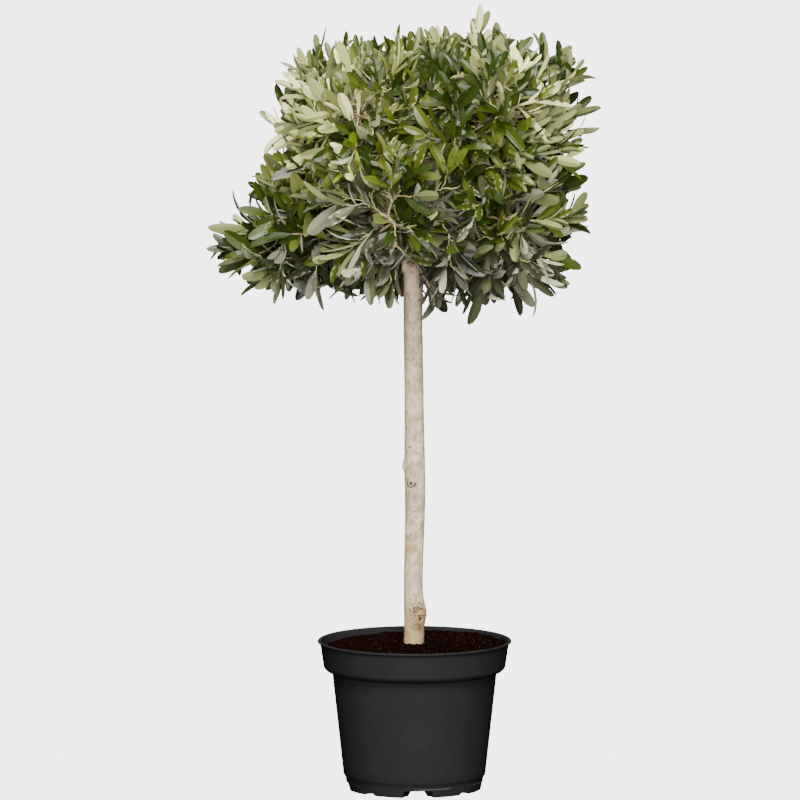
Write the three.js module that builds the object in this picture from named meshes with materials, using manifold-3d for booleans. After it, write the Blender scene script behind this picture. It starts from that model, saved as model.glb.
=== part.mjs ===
// A young olive tree grown as a standard: one bare trunk, a head of boughs and a dense, clipped
// crown, planted in a round black nursery pot that is full of compost.
// Millimetres, +Z up, the front towards -Y. The origin is on the ground, under the pot's middle.
import * as THREE from "three";
import { mergeVertices } from "three/addons/utils/BufferGeometryUtils.js";
import Module from "manifold-3d";

// Driving dimensions
const POT_DIAMETER = 240; // over the rim's lip
const POT_HEIGHT = 185;
const TREE_HEIGHT = 980; // from the ground to the topmost leaf
const TRUNK_DIAMETER = 23.6;
const FORK_HEIGHT = 640; // where the lowest bough leaves the trunk
const CROWN_WIDTH = 432;
const CROWN_DEPTH = 408;
const CROWN_HEIGHT = 338;
const LEAF_LENGTH = 68; // larger than life, because each leaf stands for a spray
const SEAT_GAP = 0.3; // between two pieces that touch

const DEGREE = Math.PI / 180;
const GOLDEN_ANGLE = Math.PI * (3 - Math.sqrt(5));
const { lerp, clamp } = THREE.MathUtils;

const tree = new THREE.Group();
const paint = (color, roughness) => new THREE.MeshStandardMaterial({ color, roughness, metalness: 0 });
const plastic = paint(0x262626, 0.5);
const compost = paint(0x2a1712, 1);
const bark = paint(0xb9a893, 0.85);
const leafage = paint(0x66733f, 0.6);

const wasm = await Module();
wasm.setup();

// A geometry whose shared corners are one vertex, with nothing but its positions.
function welded(geometry) {
  const bare = new THREE.BufferGeometry();
  bare.setAttribute("position", geometry.getAttribute("position"));
  if (geometry.index) bare.setIndex(geometry.index);
  return mergeVertices(bare, 1e-4);
}

// A three.js geometry as a solid that can be cut and joined.
function solidOf(geometry) {
  const { attributes, index } = welded(geometry);
  const vertProperties = attributes.position.array;
  const triVerts = new Uint32Array(index.array);
  return new wasm.Manifold(new wasm.Mesh({ numProp: 3, vertProperties, triVerts }));
}

// Adds the largest body of a solid, without loose scraps and sealed hollows, as a named mesh.
function addPiece(name, solid, material) {
  const bodies = solid.decompose();
  const whole = bodies.reduce((best, body) => (body.volume() > best.volume() ? body : best));
  const { vertProperties, triVerts } = whole.getMesh();
  const geometry = new THREE.BufferGeometry();
  geometry.setAttribute("position", new THREE.BufferAttribute(vertProperties, 3));
  geometry.setIndex(new THREE.BufferAttribute(triVerts, 1));
  geometry.computeVertexNormals();
  const mesh = new THREE.Mesh(geometry, material);
  mesh.name = name;
  tree.add(mesh);
}

// A solid turned about the Z axis from its outline of [radius, height] points.
const ROUND_SIDES = 40;
function turned(outline) {
  const points = outline.map(([radius, height]) => new THREE.Vector2(radius, height));
  return solidOf(new THREE.LatheGeometry(points, ROUND_SIDES).rotateX(Math.PI / 2));
}

// The pot: one thin wall, which steps out over a round shoulder to a deep collar under a rolled
// lip. Its floor is raised between a ring of feet and a pad in the middle, so that water drains.
const WALL = 1.6;
const RIM_RADIUS = POT_DIAMETER / 2;
const LIP = { overhang: 3, height: 3, softening: 0.8 };
const COLLAR = { top: RIM_RADIUS - LIP.overhang, foot: 113, depth: 33 };
const SHOULDER = { drop: 9.5, inner: 101.4, steps: 3 };
const COLLAR_Z = POT_HEIGHT - COLLAR.depth;
const SHOULDER_Z = COLLAR_Z - SHOULDER.drop;
const BODY_FOOT = { radius: 87.8, height: 19.6 };
const HEEL = { radius: 84, height: 9 };
const FOOT_RING = { radius: 81.5, width: 12 };
const FLOOR = { underside: 9, top: 11 };
const PAD_RADIUS = 22;

// The shoulder's quarter of an ellipse from the collar down to the body, without its two ends.
function shoulderBend() {
  const points = [];
  for (let i = 1; i < SHOULDER.steps; i++) {
    const turn = (i / SHOULDER.steps) * (Math.PI / 2);
    points.push([
      lerp(SHOULDER.inner, COLLAR.foot, Math.cos(turn)),
      lerp(COLLAR_Z, SHOULDER_Z, Math.sin(turn)),
    ]);
  }
  return points;
}

function makePot() {
  const outside = [
    [0, 0],
    [PAD_RADIUS, 0],
    [PAD_RADIUS, FLOOR.underside],
    [FOOT_RING.radius - FOOT_RING.width, FLOOR.underside],
    [FOOT_RING.radius - FOOT_RING.width, 0],
    [FOOT_RING.radius, 0],
    [HEEL.radius, HEEL.height],
    [BODY_FOOT.radius, BODY_FOOT.height],
    [SHOULDER.inner, SHOULDER_Z],
    ...shoulderBend().reverse(),
    [COLLAR.foot, COLLAR_Z],
    [COLLAR.top, POT_HEIGHT - LIP.height],
    [RIM_RADIUS - LIP.softening, POT_HEIGHT - LIP.height],
    [RIM_RADIUS, POT_HEIGHT - LIP.height / 2],
    [RIM_RADIUS - LIP.softening, POT_HEIGHT],
    [COLLAR.top - WALL, POT_HEIGHT],
  ];
  const inside = [
    [COLLAR.foot - WALL, COLLAR_Z],
    ...shoulderBend().map(([radius, height]) => [radius - WALL, height + WALL]),
    [SHOULDER.inner - WALL, SHOULDER_Z],
    [BODY_FOOT.radius - WALL, BODY_FOOT.height],
    [HEEL.radius - WALL, FLOOR.top],
    [0, FLOOR.top],
  ];
  const pot = turned([...outside, ...inside]);
  addPiece("pot", pot.subtract(wasm.Manifold.union(footCuts())), plastic);
}

// Water leaves by four deep notches in the foot ring, each behind a slot in the floor. Four
// shallow notches lie between them. The first deep one is a little right of the front.
const NOTCHES = 8;
const FIRST_NOTCH = -87; // degrees from +X
const DEEP_NOTCH = { foot: 22, head: 15, height: 8.7 };
const SHALLOW_NOTCH = { foot: 18, head: 15, height: 2.5 };
const DRAIN_SLOT = { width: 12, from: 60, to: 68.5 };

function footCuts() {
  const cuts = [];
  for (let i = 0; i < NOTCHES; i++) {
    const azimuth = (FIRST_NOTCH + (i * 360) / NOTCHES) * DEGREE;
    const deep = i % 2 === 0;
    const { foot, head, height } = deep ? DEEP_NOTCH : SHALLOW_NOTCH;
    const face = new THREE.Shape([
      new THREE.Vector2(-foot / 2, -1),
      new THREE.Vector2(foot / 2, -1),
      new THREE.Vector2(head / 2, height),
      new THREE.Vector2(-head / 2, height),
    ]);
    const notch = new THREE.ExtrudeGeometry(face, { depth: 2 * FOOT_RING.width, bevelEnabled: false })
      .rotateX(Math.PI / 2)
      .rotateZ(Math.PI / 2)
      .translate(FOOT_RING.radius - 1.5 * FOOT_RING.width, 0, 0);
    cuts.push(solidOf(notch.rotateZ(azimuth)));
    if (!deep) continue;
    const { width, from, to } = DRAIN_SLOT;
    const slot = new THREE.BoxGeometry(to - from, width, 2 * FLOOR.top);
    cuts.push(solidOf(slot.translate((from + to) / 2, 0, FLOOR.top).rotateZ(azimuth)));
  }
  return cuts;
}

// The compost: it fills the pot and is a little heaped towards the trunk.
const SOIL = { height: 181, flat: 16, edgeDrop: 14, heapSteps: [0.84, 0.56] };

function makeSoil() {
  const inner = (radius) => radius - WALL - SEAT_GAP;
  const edge = SOIL.height - SOIL.edgeDrop;
  const collarShare = (edge - COLLAR_Z) / (POT_HEIGHT - COLLAR_Z);
  const edgeRadius = inner(lerp(COLLAR.foot, COLLAR.top, collarShare));
  const heap = SOIL.heapSteps.map((share) => [
    lerp(SOIL.flat, edgeRadius, share),
    SOIL.height - SOIL.edgeDrop * share ** 3,
  ]);
  const shoulder = shoulderBend().reverse();
  const outline = [
    [0, FLOOR.top + SEAT_GAP],
    [inner(HEEL.radius), FLOOR.top + SEAT_GAP],
    [inner(BODY_FOOT.radius), BODY_FOOT.height],
    [inner(SHOULDER.inner), SHOULDER_Z + SEAT_GAP],
    ...shoulder.map(([radius, height]) => [inner(radius), height + WALL + SEAT_GAP]),
    [inner(COLLAR.foot), COLLAR_Z + SEAT_GAP],
    [edgeRadius, edge],
    ...heap,
    [SOIL.flat, SOIL.height],
    [0, SOIL.height],
  ];
  addPiece("soil", turned(outline), compost);
}

// A limb: a cylinder that is laid along a curve. Its radius comes from radiusAt(share, side),
// where share is the way along the curve and side the way out from its middle.
function limb(curve, radiusAt, sides, rings) {
  const geometry = new THREE.CylinderGeometry(1, 1, 1, sides, rings);
  const { normals, binormals } = curve.computeFrenetFrames(rings);
  const corners = geometry.attributes.position;
  for (let i = 0; i < corners.count; i++) {
    const ring = Math.round((corners.getY(i) + 0.5) * rings);
    const side = new THREE.Vector3()
      .addScaledVector(normals[ring], corners.getX(i))
      .addScaledVector(binormals[ring], -corners.getZ(i));
    const spot = curve.getPointAt(ring / rings);
    spot.addScaledVector(side, radiusAt(ring / rings, side));
    corners.setXYZ(i, spot.x, spot.y, spot.z);
  }
  return solidOf(geometry);
}

// How far apart two directions are, from -180 to 180 degrees.
const between = (azimuth, other) => ((azimuth - other + 540) % 360) - 180;
const hump = (offset, width) => Math.exp(-((offset / width) ** 2));

// The trunk: nearly straight and even, with a slight bow and a swelling at mid height, a flared
// foot under a burl, and the scars of shoots that were cut off. Above the fork it narrows.
const TRUNK_FOOT = SOIL.height + SEAT_GAP;
const TRUNK_BOW = [
  [-1, 0, TRUNK_FOOT],
  [-1.5, 0, 260],
  [0.6, 1, 350],
  [0, 1, 420],
  [-0.8, 0, 500],
  [-2, -1, 600],
  [0, 0, 690],
];
const FLARE = { rise: 1.4, tall: 9 };
const WAIST = { depth: 0.6, height: 240, tall: 50 };
const SWELLING = { rise: 1, height: 390, tall: 60 };
const TRUNK = { tip: 5, sides: 12, rings: 38 };
const SCARS = [
  { height: 222, azimuth: -35, rise: 3.4, tall: 13, wide: 40 },
  { height: 212, azimuth: -80, rise: 1.6, tall: 9, wide: 30 },
  { height: 402, azimuth: 182, rise: 3.2, tall: 6, wide: 18 },
  { height: 381, azimuth: 245, rise: 1.8, tall: 7, wide: 20 },
  { height: 520, azimuth: 70, rise: 2, tall: 6, wide: 18 },
  { height: 610, azimuth: 8, rise: 2.2, tall: 5, wide: 18 },
];

function trunkGirth(height) {
  const foot = FLARE.rise * hump(height - TRUNK_FOOT, FLARE.tall);
  const waist = WAIST.depth * hump(height - WAIST.height, WAIST.tall);
  const swelling = SWELLING.rise * hump(height - SWELLING.height, SWELLING.tall);
  const head = clamp((height - FORK_HEIGHT) / (TRUNK_TOP - FORK_HEIGHT), 0, 1);
  return lerp(TRUNK_DIAMETER / 2 + foot - waist + swelling, TRUNK.tip, head);
}

function trunkRadius(height, side) {
  const azimuth = Math.atan2(side.y, side.x) / DEGREE;
  const swell = ({ rise, wide, tall, ...scar }) =>
    rise * hump(between(azimuth, scar.azimuth), wide) * hump(height - scar.height, tall);
  return SCARS.reduce((radius, scar) => radius + swell(scar), trunkGirth(height));
}

// The crown: a rounded box of leaf tips that leans to the right at its top, with a flatter
// underside, and fuller at the lower left.
const CROWN_CENTRE = new THREE.Vector3(12, 0, 775);
const CROWN_LEAN = 13; // the middle's way to the right from half height to the top
const SQUARENESS = { round: 4.6, top: 4, bottom: 8 };
const BULGE = { azimuth: 182, wide: 40, level: -0.66, tall: 0.34, swell: 0.24 };

// Over 1 outside the crown.
function crownMeasure(point) {
  const level = (point.z - CROWN_CENTRE.z) / (CROWN_HEIGHT / 2);
  const x = (point.x - CROWN_CENTRE.x - CROWN_LEAN * level) / (CROWN_WIDTH / 2);
  const y = (point.y - CROWN_CENTRE.y) / (CROWN_DEPTH / 2);
  const azimuth = Math.atan2(y, x) / DEGREE;
  const bulge = hump(between(azimuth, BULGE.azimuth), BULGE.wide) * hump(level - BULGE.level, BULGE.tall);
  const across = Math.hypot(x, y) / (1 + BULGE.swell * bulge);
  const squareness = level > 0 ? SQUARENESS.top : SQUARENESS.bottom;
  return across ** SQUARENESS.round + Math.abs(level) ** squareness;
}

// How far it is from a point inside the crown to its edge, along a direction.
const STEP = 2;
function edgeFrom(point, direction) {
  let reach = 0;
  const probe = point.clone();
  while (reach < CROWN_WIDTH && crownMeasure(probe) < 1) {
    reach += STEP;
    probe.addScaledVector(direction, STEP);
  }
  return reach;
}

// The masses of foliage: a tier of five, a tier of four and one on the trunk's tip. A bough
// comes into each from the trunk's side, from below: enter gives that way's in and down.
const LOWER = { reach: 116, level: -64, fork: FORK_HEIGHT, forkStep: 7, enter: [0.9, 0.44], thick: 6.2 };
const UPPER = { reach: 114, level: 62, fork: 690, forkStep: 14, enter: [0.7, 0.71], thick: 5.4 };
const TOP = { reach: 0, level: 84, enter: [0, 1], thick: TRUNK.tip };
const PLACES = [
  ["lower_left", 180, LOWER],
  ["lower_front_left", 252, LOWER],
  ["lower_front_right", 324, LOWER],
  ["lower_back_right", 36, LOWER],
  ["lower_back_left", 108, LOWER],
  ["upper_front_left", 225, UPPER],
  ["upper_front_right", 315, UPPER],
  ["upper_back_right", 45, UPPER],
  ["upper_back_left", 135, UPPER],
  ["top", 0, TOP],
];

const masses = PLACES.map(([name, azimuth, tier]) => {
  const out = new THREE.Vector3(Math.cos(azimuth * DEGREE), Math.sin(azimuth * DEGREE), 0);
  const heart = CROWN_CENTRE.clone().addScaledVector(out, tier.reach);
  heart.z += tier.level;
  const [inwards, down] = tier.enter;
  const enter = out.multiplyScalar(-inwards).setZ(-down).normalize();
  return { name, heart, tier, enter };
});

// Each mass keeps to the space that is nearer to its heart than to any other, less a slit.
const SLIT = 0.6;
function roomLeft(mass, point) {
  let room = Infinity;
  for (const other of masses) {
    if (other === mass) continue;
    const across = other.heart.clone().sub(mass.heart);
    const middle = mass.heart.clone().addScaledVector(across, 0.5);
    room = Math.min(room, middle.sub(point).dot(across.normalize()) - SLIT);
  }
  return room;
}

// A mass has a core of close growth, which its twigs and leaves stand out of. The core stays
// thin towards the trunk, where the crown is bare.
const CORE = { share: 0.46, limit: 96, inwards: 40, thinning: 0.3, lump: 0.08, detail: 1 };

function coreRadius(mass, direction) {
  const inwards = clamp(direction.dot(mass.enter) + CORE.thinning, 0, 1);
  const limit = lerp(CORE.limit, CORE.inwards, inwards);
  let radius = Math.min(edgeFrom(mass.heart, direction) * CORE.share, limit);
  while (roomLeft(mass, mass.heart.clone().addScaledVector(direction, radius)) < STEP) radius -= STEP;
  const { x, y, z } = direction;
  const lumps = Math.sin(23 * x + 19 * y) + Math.sin(21 * z + 17 * x);
  return radius * (1 - CORE.lump * (1 + lumps / 2));
}

function coreOf(mass) {
  const geometry = welded(new THREE.IcosahedronGeometry(1, CORE.detail));
  const corners = geometry.attributes.position;
  for (let i = 0; i < corners.count; i++) {
    const direction = new THREE.Vector3().fromBufferAttribute(corners, i).normalize();
    const spot = mass.heart.clone().addScaledVector(direction, coreRadius(mass, direction));
    corners.setXYZ(i, spot.x, spot.y, spot.z);
  }
  return solidOf(geometry);
}

// Where each limb ends, just outside its mass's core.
const STUB = 5; // of a mass's stem, outside its core
for (const mass of masses) {
  const way = coreRadius(mass, mass.enter) + STUB;
  mass.mouth = mass.heart.clone().addScaledVector(mass.enter, way);
}
const topMass = masses.find(({ tier }) => tier === TOP);
const sideMasses = masses.filter((mass) => mass !== topMass);
const LOWER_COUNT = sideMasses.filter(({ tier }) => tier === LOWER).length;
const TRUNK_TOP = topMass.mouth.z;
const TRUNK_LAST = 30; // of the trunk, straight up to its tip
const trunkCurve = new THREE.CatmullRomCurve3(
  [
    ...TRUNK_BOW.map((spot) => new THREE.Vector3(...spot)),
    topMass.mouth.clone().addScaledVector(topMass.enter, TRUNK_LAST),
    topMass.mouth,
  ],
  false,
  "centripetal",
);

function trunkSolid(clearance) {
  const radiusAt = (share, side) => trunkRadius(trunkCurve.getPointAt(share).z, side) + clearance;
  return limb(trunkCurve, radiusAt, TRUNK.sides, TRUNK.rings);
}

// The point on the trunk's middle line at a height.
function trunkMiddle(height) {
  let [low, high] = [0, 1];
  for (let halving = 0; halving < 20; halving++) {
    const half = (low + high) / 2;
    [low, high] = trunkCurve.getPointAt(half).z < height ? [half, high] : [low, half];
  }
  return trunkCurve.getPointAt(low);
}

// The boughs: one tapering limb to each mass, from the trunk's head outwards and up. They leave
// the trunk one above the other, two places on round the tree at a time.
const BOUGH = { taper: 0.58, sides: 6, rings: 4 };

for (const tier of [LOWER, UPPER]) {
  const round = sideMasses.filter((mass) => mass.tier === tier);
  round.forEach((mass, i) => {
    const rank = (i * 2) % LOWER_COUNT;
    const start = trunkMiddle(tier.fork + tier.forkStep * rank);
    const knee = mass.mouth.clone().addScaledVector(mass.enter, start.distanceTo(mass.mouth) / 2);
    mass.bough = new THREE.QuadraticBezierCurve3(start, knee, mass.mouth);
  });
}

const boughRadius = ({ tier }, share) => tier.thick * lerp(1, BOUGH.taper, share);

function boughSolid(mass, clearance) {
  return limb(mass.bough, (share) => boughRadius(mass, share) + clearance, BOUGH.sides, BOUGH.rings);
}

// Balls strung along every limb, which stand for it where a leaf has to keep clear of it.
const BALLS = 40;
const balls = [];
for (let i = 0; i <= BALLS; i++) {
  const share = i / BALLS;
  const spot = trunkCurve.getPointAt(share);
  balls.push({ spot, radius: trunkGirth(spot.z) });
  for (const mass of sideMasses) {
    balls.push({ spot: mass.bough.getPointAt(share), radius: boughRadius(mass, share) });
  }
}

// How far a straight stretch stays from every limb's surface.
function clearOfLimbs(from, to) {
  const line = new THREE.Line3(from, to);
  const nearest = new THREE.Vector3();
  const gaps = balls.map(({ spot, radius }) => {
    line.closestPointToPoint(spot, true, nearest);
    return nearest.distanceTo(spot) - radius;
  });
  return Math.min(...gaps);
}

// Numbers between 0 and 1 that are the same on every run.
function dice(seed) {
  let state = seed | 0;
  return () => {
    state = (state + 0x6d2b79f5) | 0;
    let mixed = Math.imul(state ^ (state >>> 15), 1 | state);
    mixed = (mixed + Math.imul(mixed ^ (mixed >>> 7), 61 | mixed)) ^ mixed;
    return ((mixed ^ (mixed >>> 14)) >>> 0) / 2 ** 32;
  };
}

// The twigs: their ends are spread evenly over the crown, and each grows from the heart of the
// mass whose space its end is in, sagging at first and bending upwards.
const TWIGS = 102;
const TWIG = { foot: 3, tip: 2, sag: 0.14, inside: 44, sides: 3, rings: 2, tested: [0.4, 0.7, 1] };
// The ends of the shoots that stand out of the outline, at the top, the left and the lower right.
const LONG_SHOOTS = [
  [74, -52, TREE_HEIGHT - 0.72 * LEAF_LENGTH],
  [-206, -24, 694],
  [160, -48, 660],
];

function twigTo(end, mass, seed, long) {
  const knee = mass.heart.clone().lerp(end, 0.5);
  knee.z -= end.distanceTo(mass.heart) * TWIG.sag;
  const curve = new THREE.QuadraticBezierCurve3(mass.heart, knee, end);
  const [near, middle, far] = TWIG.tested.map((share) => curve.getPoint(share));
  const roomy = [near, middle, far].every((spot) => roomLeft(mass, spot) > TWIG.foot);
  const clear = clearOfLimbs(near, middle) > TWIG.foot && clearOfLimbs(middle, far) > TWIG.foot;
  return roomy && clear ? [{ curve, seed, long }] : [];
}

function twigsOf(mass) {
  const twigs = [];
  for (let i = 1; i <= TWIGS; i++) {
    const rise = 1 - (2 * i - 1) / TWIGS;
    const flat = Math.sqrt(1 - rise * rise);
    const turn = i * GOLDEN_ANGLE;
    const direction = new THREE.Vector3(flat * Math.cos(turn), flat * Math.sin(turn), rise);
    const reach = edgeFrom(CROWN_CENTRE, direction) - TWIG.inside;
    twigs.push(...twigTo(CROWN_CENTRE.clone().addScaledVector(direction, reach), mass, i, false));
  }
  LONG_SHOOTS.forEach((end, i) => {
    twigs.push(...twigTo(new THREE.Vector3(...end), mass, TWIGS + 1 + i, true));
  });
  return twigs;
}

// Whether two blades, or a blade and a twig, pass through each other. A blade is four corners,
// from its root round to its tip and back, and a twig is its two ends.
function crossing(one, other) {
  const ray = new THREE.Ray();
  const hit = new THREE.Vector3();
  const pierces = (edges, blade) =>
    blade.length === 4 &&
    edges.some((from, i) => {
      const to = edges[(i + 1) % edges.length];
      ray.set(from, to.clone().sub(from).normalize());
      return [1, 2].some((k) => {
        const met = ray.intersectTriangle(blade[0], blade[k], blade[k + 1], false, hit);
        return met && hit.distanceTo(from) < to.distanceTo(from);
      });
    });
  return pierces(one, other) || pierces(other, one);
}

// The leaves: narrow blades of eight faces in crossed pairs near a twig's end, and one on it.
// The root of each is sunk past the twig's middle line.
const LEAF = { width: 0.34 * LEAF_LENGTH, thick: 1.8, sunk: 0.5, vary: 0.18, least: 0.5, unevenness: 20 };
const PAIRS = [
  { station: 0.76, lean: 58 },
  { station: 0.9, lean: 40 },
];
const PAIR_GAP = 4; // along the twig, between the two leaves of a pair
const END_LEAN = 6;
const LIMB_MARGIN = 0.8;
// Turns about the twig, with a share of the size, tried one by one until the leaf fits its space.
const TRIES = [
  [0, 1],
  [35, 1],
  [-35, 1],
  [0, 0.75],
  [70, 0.9],
  [-70, 0.9],
];

// One leaf that grows from a station on a twig, or null where it doesn't fit.
function leafAt({ curve, long }, station, about, lean, size, mass, taken) {
  const root = curve.getPoint(station);
  const ahead = curve.getTangent(station);
  const side = new THREE.Vector3(0, 0, 1).cross(ahead).normalize().applyAxisAngle(ahead, about);
  const along = ahead.clone().multiplyScalar(Math.cos(lean)).addScaledVector(side, Math.sin(lean));
  const share = long ? size : Math.min(size, edgeFrom(root, along) / LEAF_LENGTH);
  if (share < LEAF.least) return null;

  const face = ahead.clone().addScaledVector(along, -ahead.dot(along)).normalize();
  const across = face.clone().cross(along);
  const half = (LEAF_LENGTH * share) / 2;
  const breadth = (LEAF.width * share) / 2;
  const middle = root.clone().addScaledVector(along, half - LEAF.sunk);
  const tip = middle.clone().addScaledVector(along, half);
  const left = middle.clone().addScaledVector(across, breadth);
  const right = middle.clone().addScaledVector(across, -breadth);
  if ([tip, left, right].some((corner) => roomLeft(mass, corner) < SLIT + LEAF.thick)) return null;
  if (clearOfLimbs(root, tip) < breadth + LIMB_MARGIN) return null;

  const blade = [root.clone().addScaledVector(along, 2 * TWIG.foot), left, tip, right];
  if (taken.some((other) => crossing(blade, other))) return null;
  taken.push(blade);
  const shape = new THREE.OctahedronGeometry(1).scale(half, breadth, LEAF.thick / 2);
  shape.applyMatrix4(new THREE.Matrix4().makeBasis(along, across, face).setPosition(middle));
  return solidOf(shape);
}

function leavesOn(twig, mass, taken) {
  const roll = dice(twig.seed);
  const turn = roll() * Math.PI;
  const apart = PAIR_GAP / twig.curve.getLength();
  const places = PAIRS.flatMap(({ station, lean }, i) => {
    const about = turn + (i * Math.PI) / 2;
    return [
      { station, about, lean },
      { station: station - apart, about: about + Math.PI, lean },
    ];
  });
  places.push({ station: 1, about: turn, lean: END_LEAN });

  const leaves = [];
  for (const { station, about, lean } of places) {
    const tilt = (lean + (roll() - 0.5) * LEAF.unevenness) * DEGREE;
    const size = 1 + (roll() - 0.5) * 2 * LEAF.vary;
    for (const [turned, share] of TRIES) {
      const leaf = leafAt(twig, station, about + turned * DEGREE, tilt, size * share, mass, taken);
      if (!leaf) continue;
      leaves.push(leaf);
      break;
    }
  }
  return leaves;
}

// A mass: its stem, core, twigs and leaves are one solid, cut clear of the limbs.
function makeMass(mass, limbs) {
  const start = mass.mouth.clone().addScaledVector(mass.enter, -SEAT_GAP);
  const thick = mass === topMass ? mass.tier.thick : boughRadius(mass, 1);
  const stem = limb(new THREE.LineCurve3(start, mass.heart), () => thick, BOUGH.sides, 1);
  const parts = [coreOf(mass), stem];
  const twigs = twigsOf(mass);
  const taken = twigs.map(({ curve }) => [curve.getPoint(0.5), curve.getPoint(1)]);
  for (const twig of twigs) {
    const radiusAt = (share) => lerp(TWIG.foot, TWIG.tip, share);
    parts.push(limb(twig.curve, radiusAt, TWIG.sides, TWIG.rings), ...leavesOn(twig, mass, taken));
  }
  addPiece(`foliage_${mass.name}`, wasm.Manifold.union(parts).subtract(limbs), leafage);
}

makePot();
makeSoil();
addPiece("trunk", trunkSolid(0), bark);
for (const mass of sideMasses) {
  addPiece(`bough_${mass.name}`, boughSolid(mass, 0).subtract(trunkSolid(SEAT_GAP)), bark);
}
const limbs = sideMasses.map((mass) => boughSolid(mass, SEAT_GAP));
const limbRoom = wasm.Manifold.union([trunkSolid(SEAT_GAP), ...limbs]);
for (const mass of masses) makeMass(mass, limbRoom);

export default tree;
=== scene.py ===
# A young olive tree grown as a standard in a round black nursery pot. The file follows it as it
# is put together: pot, compost, trunk, boughs, twigs, leaves, and then the studio.
# Metres, +Z up, the front towards -Y. The origin is on the ground, under the pot's middle.
import math

import bpy
import numpy as np
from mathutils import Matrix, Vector, noise


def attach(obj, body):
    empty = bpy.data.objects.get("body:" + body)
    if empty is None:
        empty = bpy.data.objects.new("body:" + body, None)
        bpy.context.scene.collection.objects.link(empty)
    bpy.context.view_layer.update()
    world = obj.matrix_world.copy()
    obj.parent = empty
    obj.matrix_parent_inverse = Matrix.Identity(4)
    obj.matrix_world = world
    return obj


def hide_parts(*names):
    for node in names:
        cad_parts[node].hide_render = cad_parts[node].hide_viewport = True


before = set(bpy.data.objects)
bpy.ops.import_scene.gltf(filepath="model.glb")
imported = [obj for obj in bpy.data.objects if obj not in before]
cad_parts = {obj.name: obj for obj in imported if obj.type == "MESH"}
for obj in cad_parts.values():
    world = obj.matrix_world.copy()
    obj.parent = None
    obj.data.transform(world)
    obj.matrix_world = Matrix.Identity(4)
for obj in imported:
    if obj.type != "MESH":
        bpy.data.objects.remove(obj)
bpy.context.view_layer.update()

# The pot: moulded from black plastic in one piece. Its thin wall steps out over a round shoulder
# to a deep collar under a rolled lip. The raised floor stands on a foot ring, which four deep
# notches drain through slots in the floor, with four shallow notches between them.
POT_HEIGHT = 0.185
RIM_RADIUS = 0.120
WALL = 0.0016
LIP_BEAD = 0.0015  # the rolled lip's own radius
UNDER_LIP = (0.0004, 0.0036)  # its step out of the wall, and from the rim down to plain wall
INNER_EDGE = 0.0008  # from the rim down to the head of the wall's inside
COLLAR_TOP = 0.117
COLLAR_FOOT = 0.113
COLLAR_Z = 0.155
SHOULDER_INNER = 0.1018
SHOULDER_Z = 0.146
NECK_ROUND = (0.0012, 0.0014)  # between the shoulder and the body
NECK_DROP = 0.002
BODY_FOOT = (0.0882, 0.0196)
HEEL_BEND = [(0.0876, 0.0174), (0.0860, 0.0152), (0.0852, 0.0128)]
HEEL = (0.0848, 0.009)
FOOT_RADIUS = 0.083
FOOT_WIDTH = 0.012
FOOT_EDGES = (0.0018, 0.001)  # flat edge along the foot ring's outside and its inside
FLOOR_UNDERSIDE = 0.009
FLOOR_TOP = 0.011
FLOOR_ROUND = ((0.0795, 0.014), (0.003, 0.003))  # middle and size, between floor and wall
PAD_RADIUS = 0.022
NOTCHES = 8
FIRST_NOTCH = -87  # degrees from +X
# A notch's width at its foot and its head, first at the ring's outer face, and then its height.
DEEP_NOTCH = ((0.038, 0.034), (0.030, 0.014), 0.0087)
SHALLOW_NOTCH = ((0.018, 0.012), (0.018, 0.012), 0.0025)
SLOT_FROM = 0.060
SLOT_TO = 0.0685
SLOT_HALF_TURN = 5  # degrees
POT_SIDES = 360  # one a degree, so that notches and slots fall on them
CREASE = 38  # degrees past which an edge stays sharp
PLASTIC = ((0.0180, 0.0180, 0.0180), (0.0220, 0.0220, 0.0217))  # clean, dusty
SCUFF_AND_HIGHLIGHT_COLOUR = (0.085, 0.085, 0.083)
SCUFF_AND_HIGHLIGHT_HEIGHT = 0.0105  # of the light line over the heel, partly scuffs and partly a painted highlight
SCUFF_AND_HIGHLIGHT_REACH = 0.0011


def straight(start, end, steps):
    """Points of an outline from start, which is left out, to end."""
    return [tuple(np.add(start, np.subtract(end, start) * i / steps)) for i in range(1, steps + 1)]


def bend(centre, size, start, end, steps):
    """Points of an outline round a part of an ellipse, between two angles in degrees."""
    turns = np.radians(np.linspace(start, end, steps + 1))
    return [(centre[0] + size[0] * math.cos(t), centre[1] + size[1] * math.sin(t)) for t in turns]


def apart(turn, other):
    """How far apart two directions are, from -180 to 180 degrees."""
    return (turn - other + 540) % 360 - 180


def turned(outline, sides):
    """Corners and faces of what an outline from axis to axis sweeps as it turns about Z."""
    turns = np.radians(np.arange(sides) * 360 / sides - 180)
    corners = [(0.0, 0.0, outline[0][1])]
    for radius, height in outline[1:-1]:
        corners += [(radius * math.cos(t), radius * math.sin(t), height) for t in turns]
    corners.append((0.0, 0.0, outline[-1][1]))
    last = len(corners) - 1
    faces = []
    for side in range(sides):
        after = (side + 1) % sides
        faces.append((0, 1 + side, 1 + after))
        for ring in range(len(outline) - 3):
            near = 1 + ring * sides
            far = near + sides
            faces.append((near + side, far + side, far + after, near + after))
        faces.append((last - sides + side, last, last - sides + after))
    return np.array(corners), faces


def new_piece(name, corners, faces, material, crease=None):
    """A smooth object from corners and faces, with edges kept sharp past the crease's degrees."""
    mesh = bpy.data.meshes.new(name)
    mesh.from_pydata([tuple(corner) for corner in corners], [], faces)
    mesh.materials.append(material)
    mesh.shade_smooth()
    if crease:
        mesh.set_sharp_from_angle(angle=math.radians(crease))
    made = bpy.data.objects.new(name, mesh)
    bpy.context.scene.collection.objects.link(made)
    return made


def fill(tree, socket, value):
    """Links a socket to another, or sets it to a value."""
    if isinstance(value, bpy.types.NodeSocket):
        tree.links.new(value, socket)
    else:
        socket.default_value = value


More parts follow.
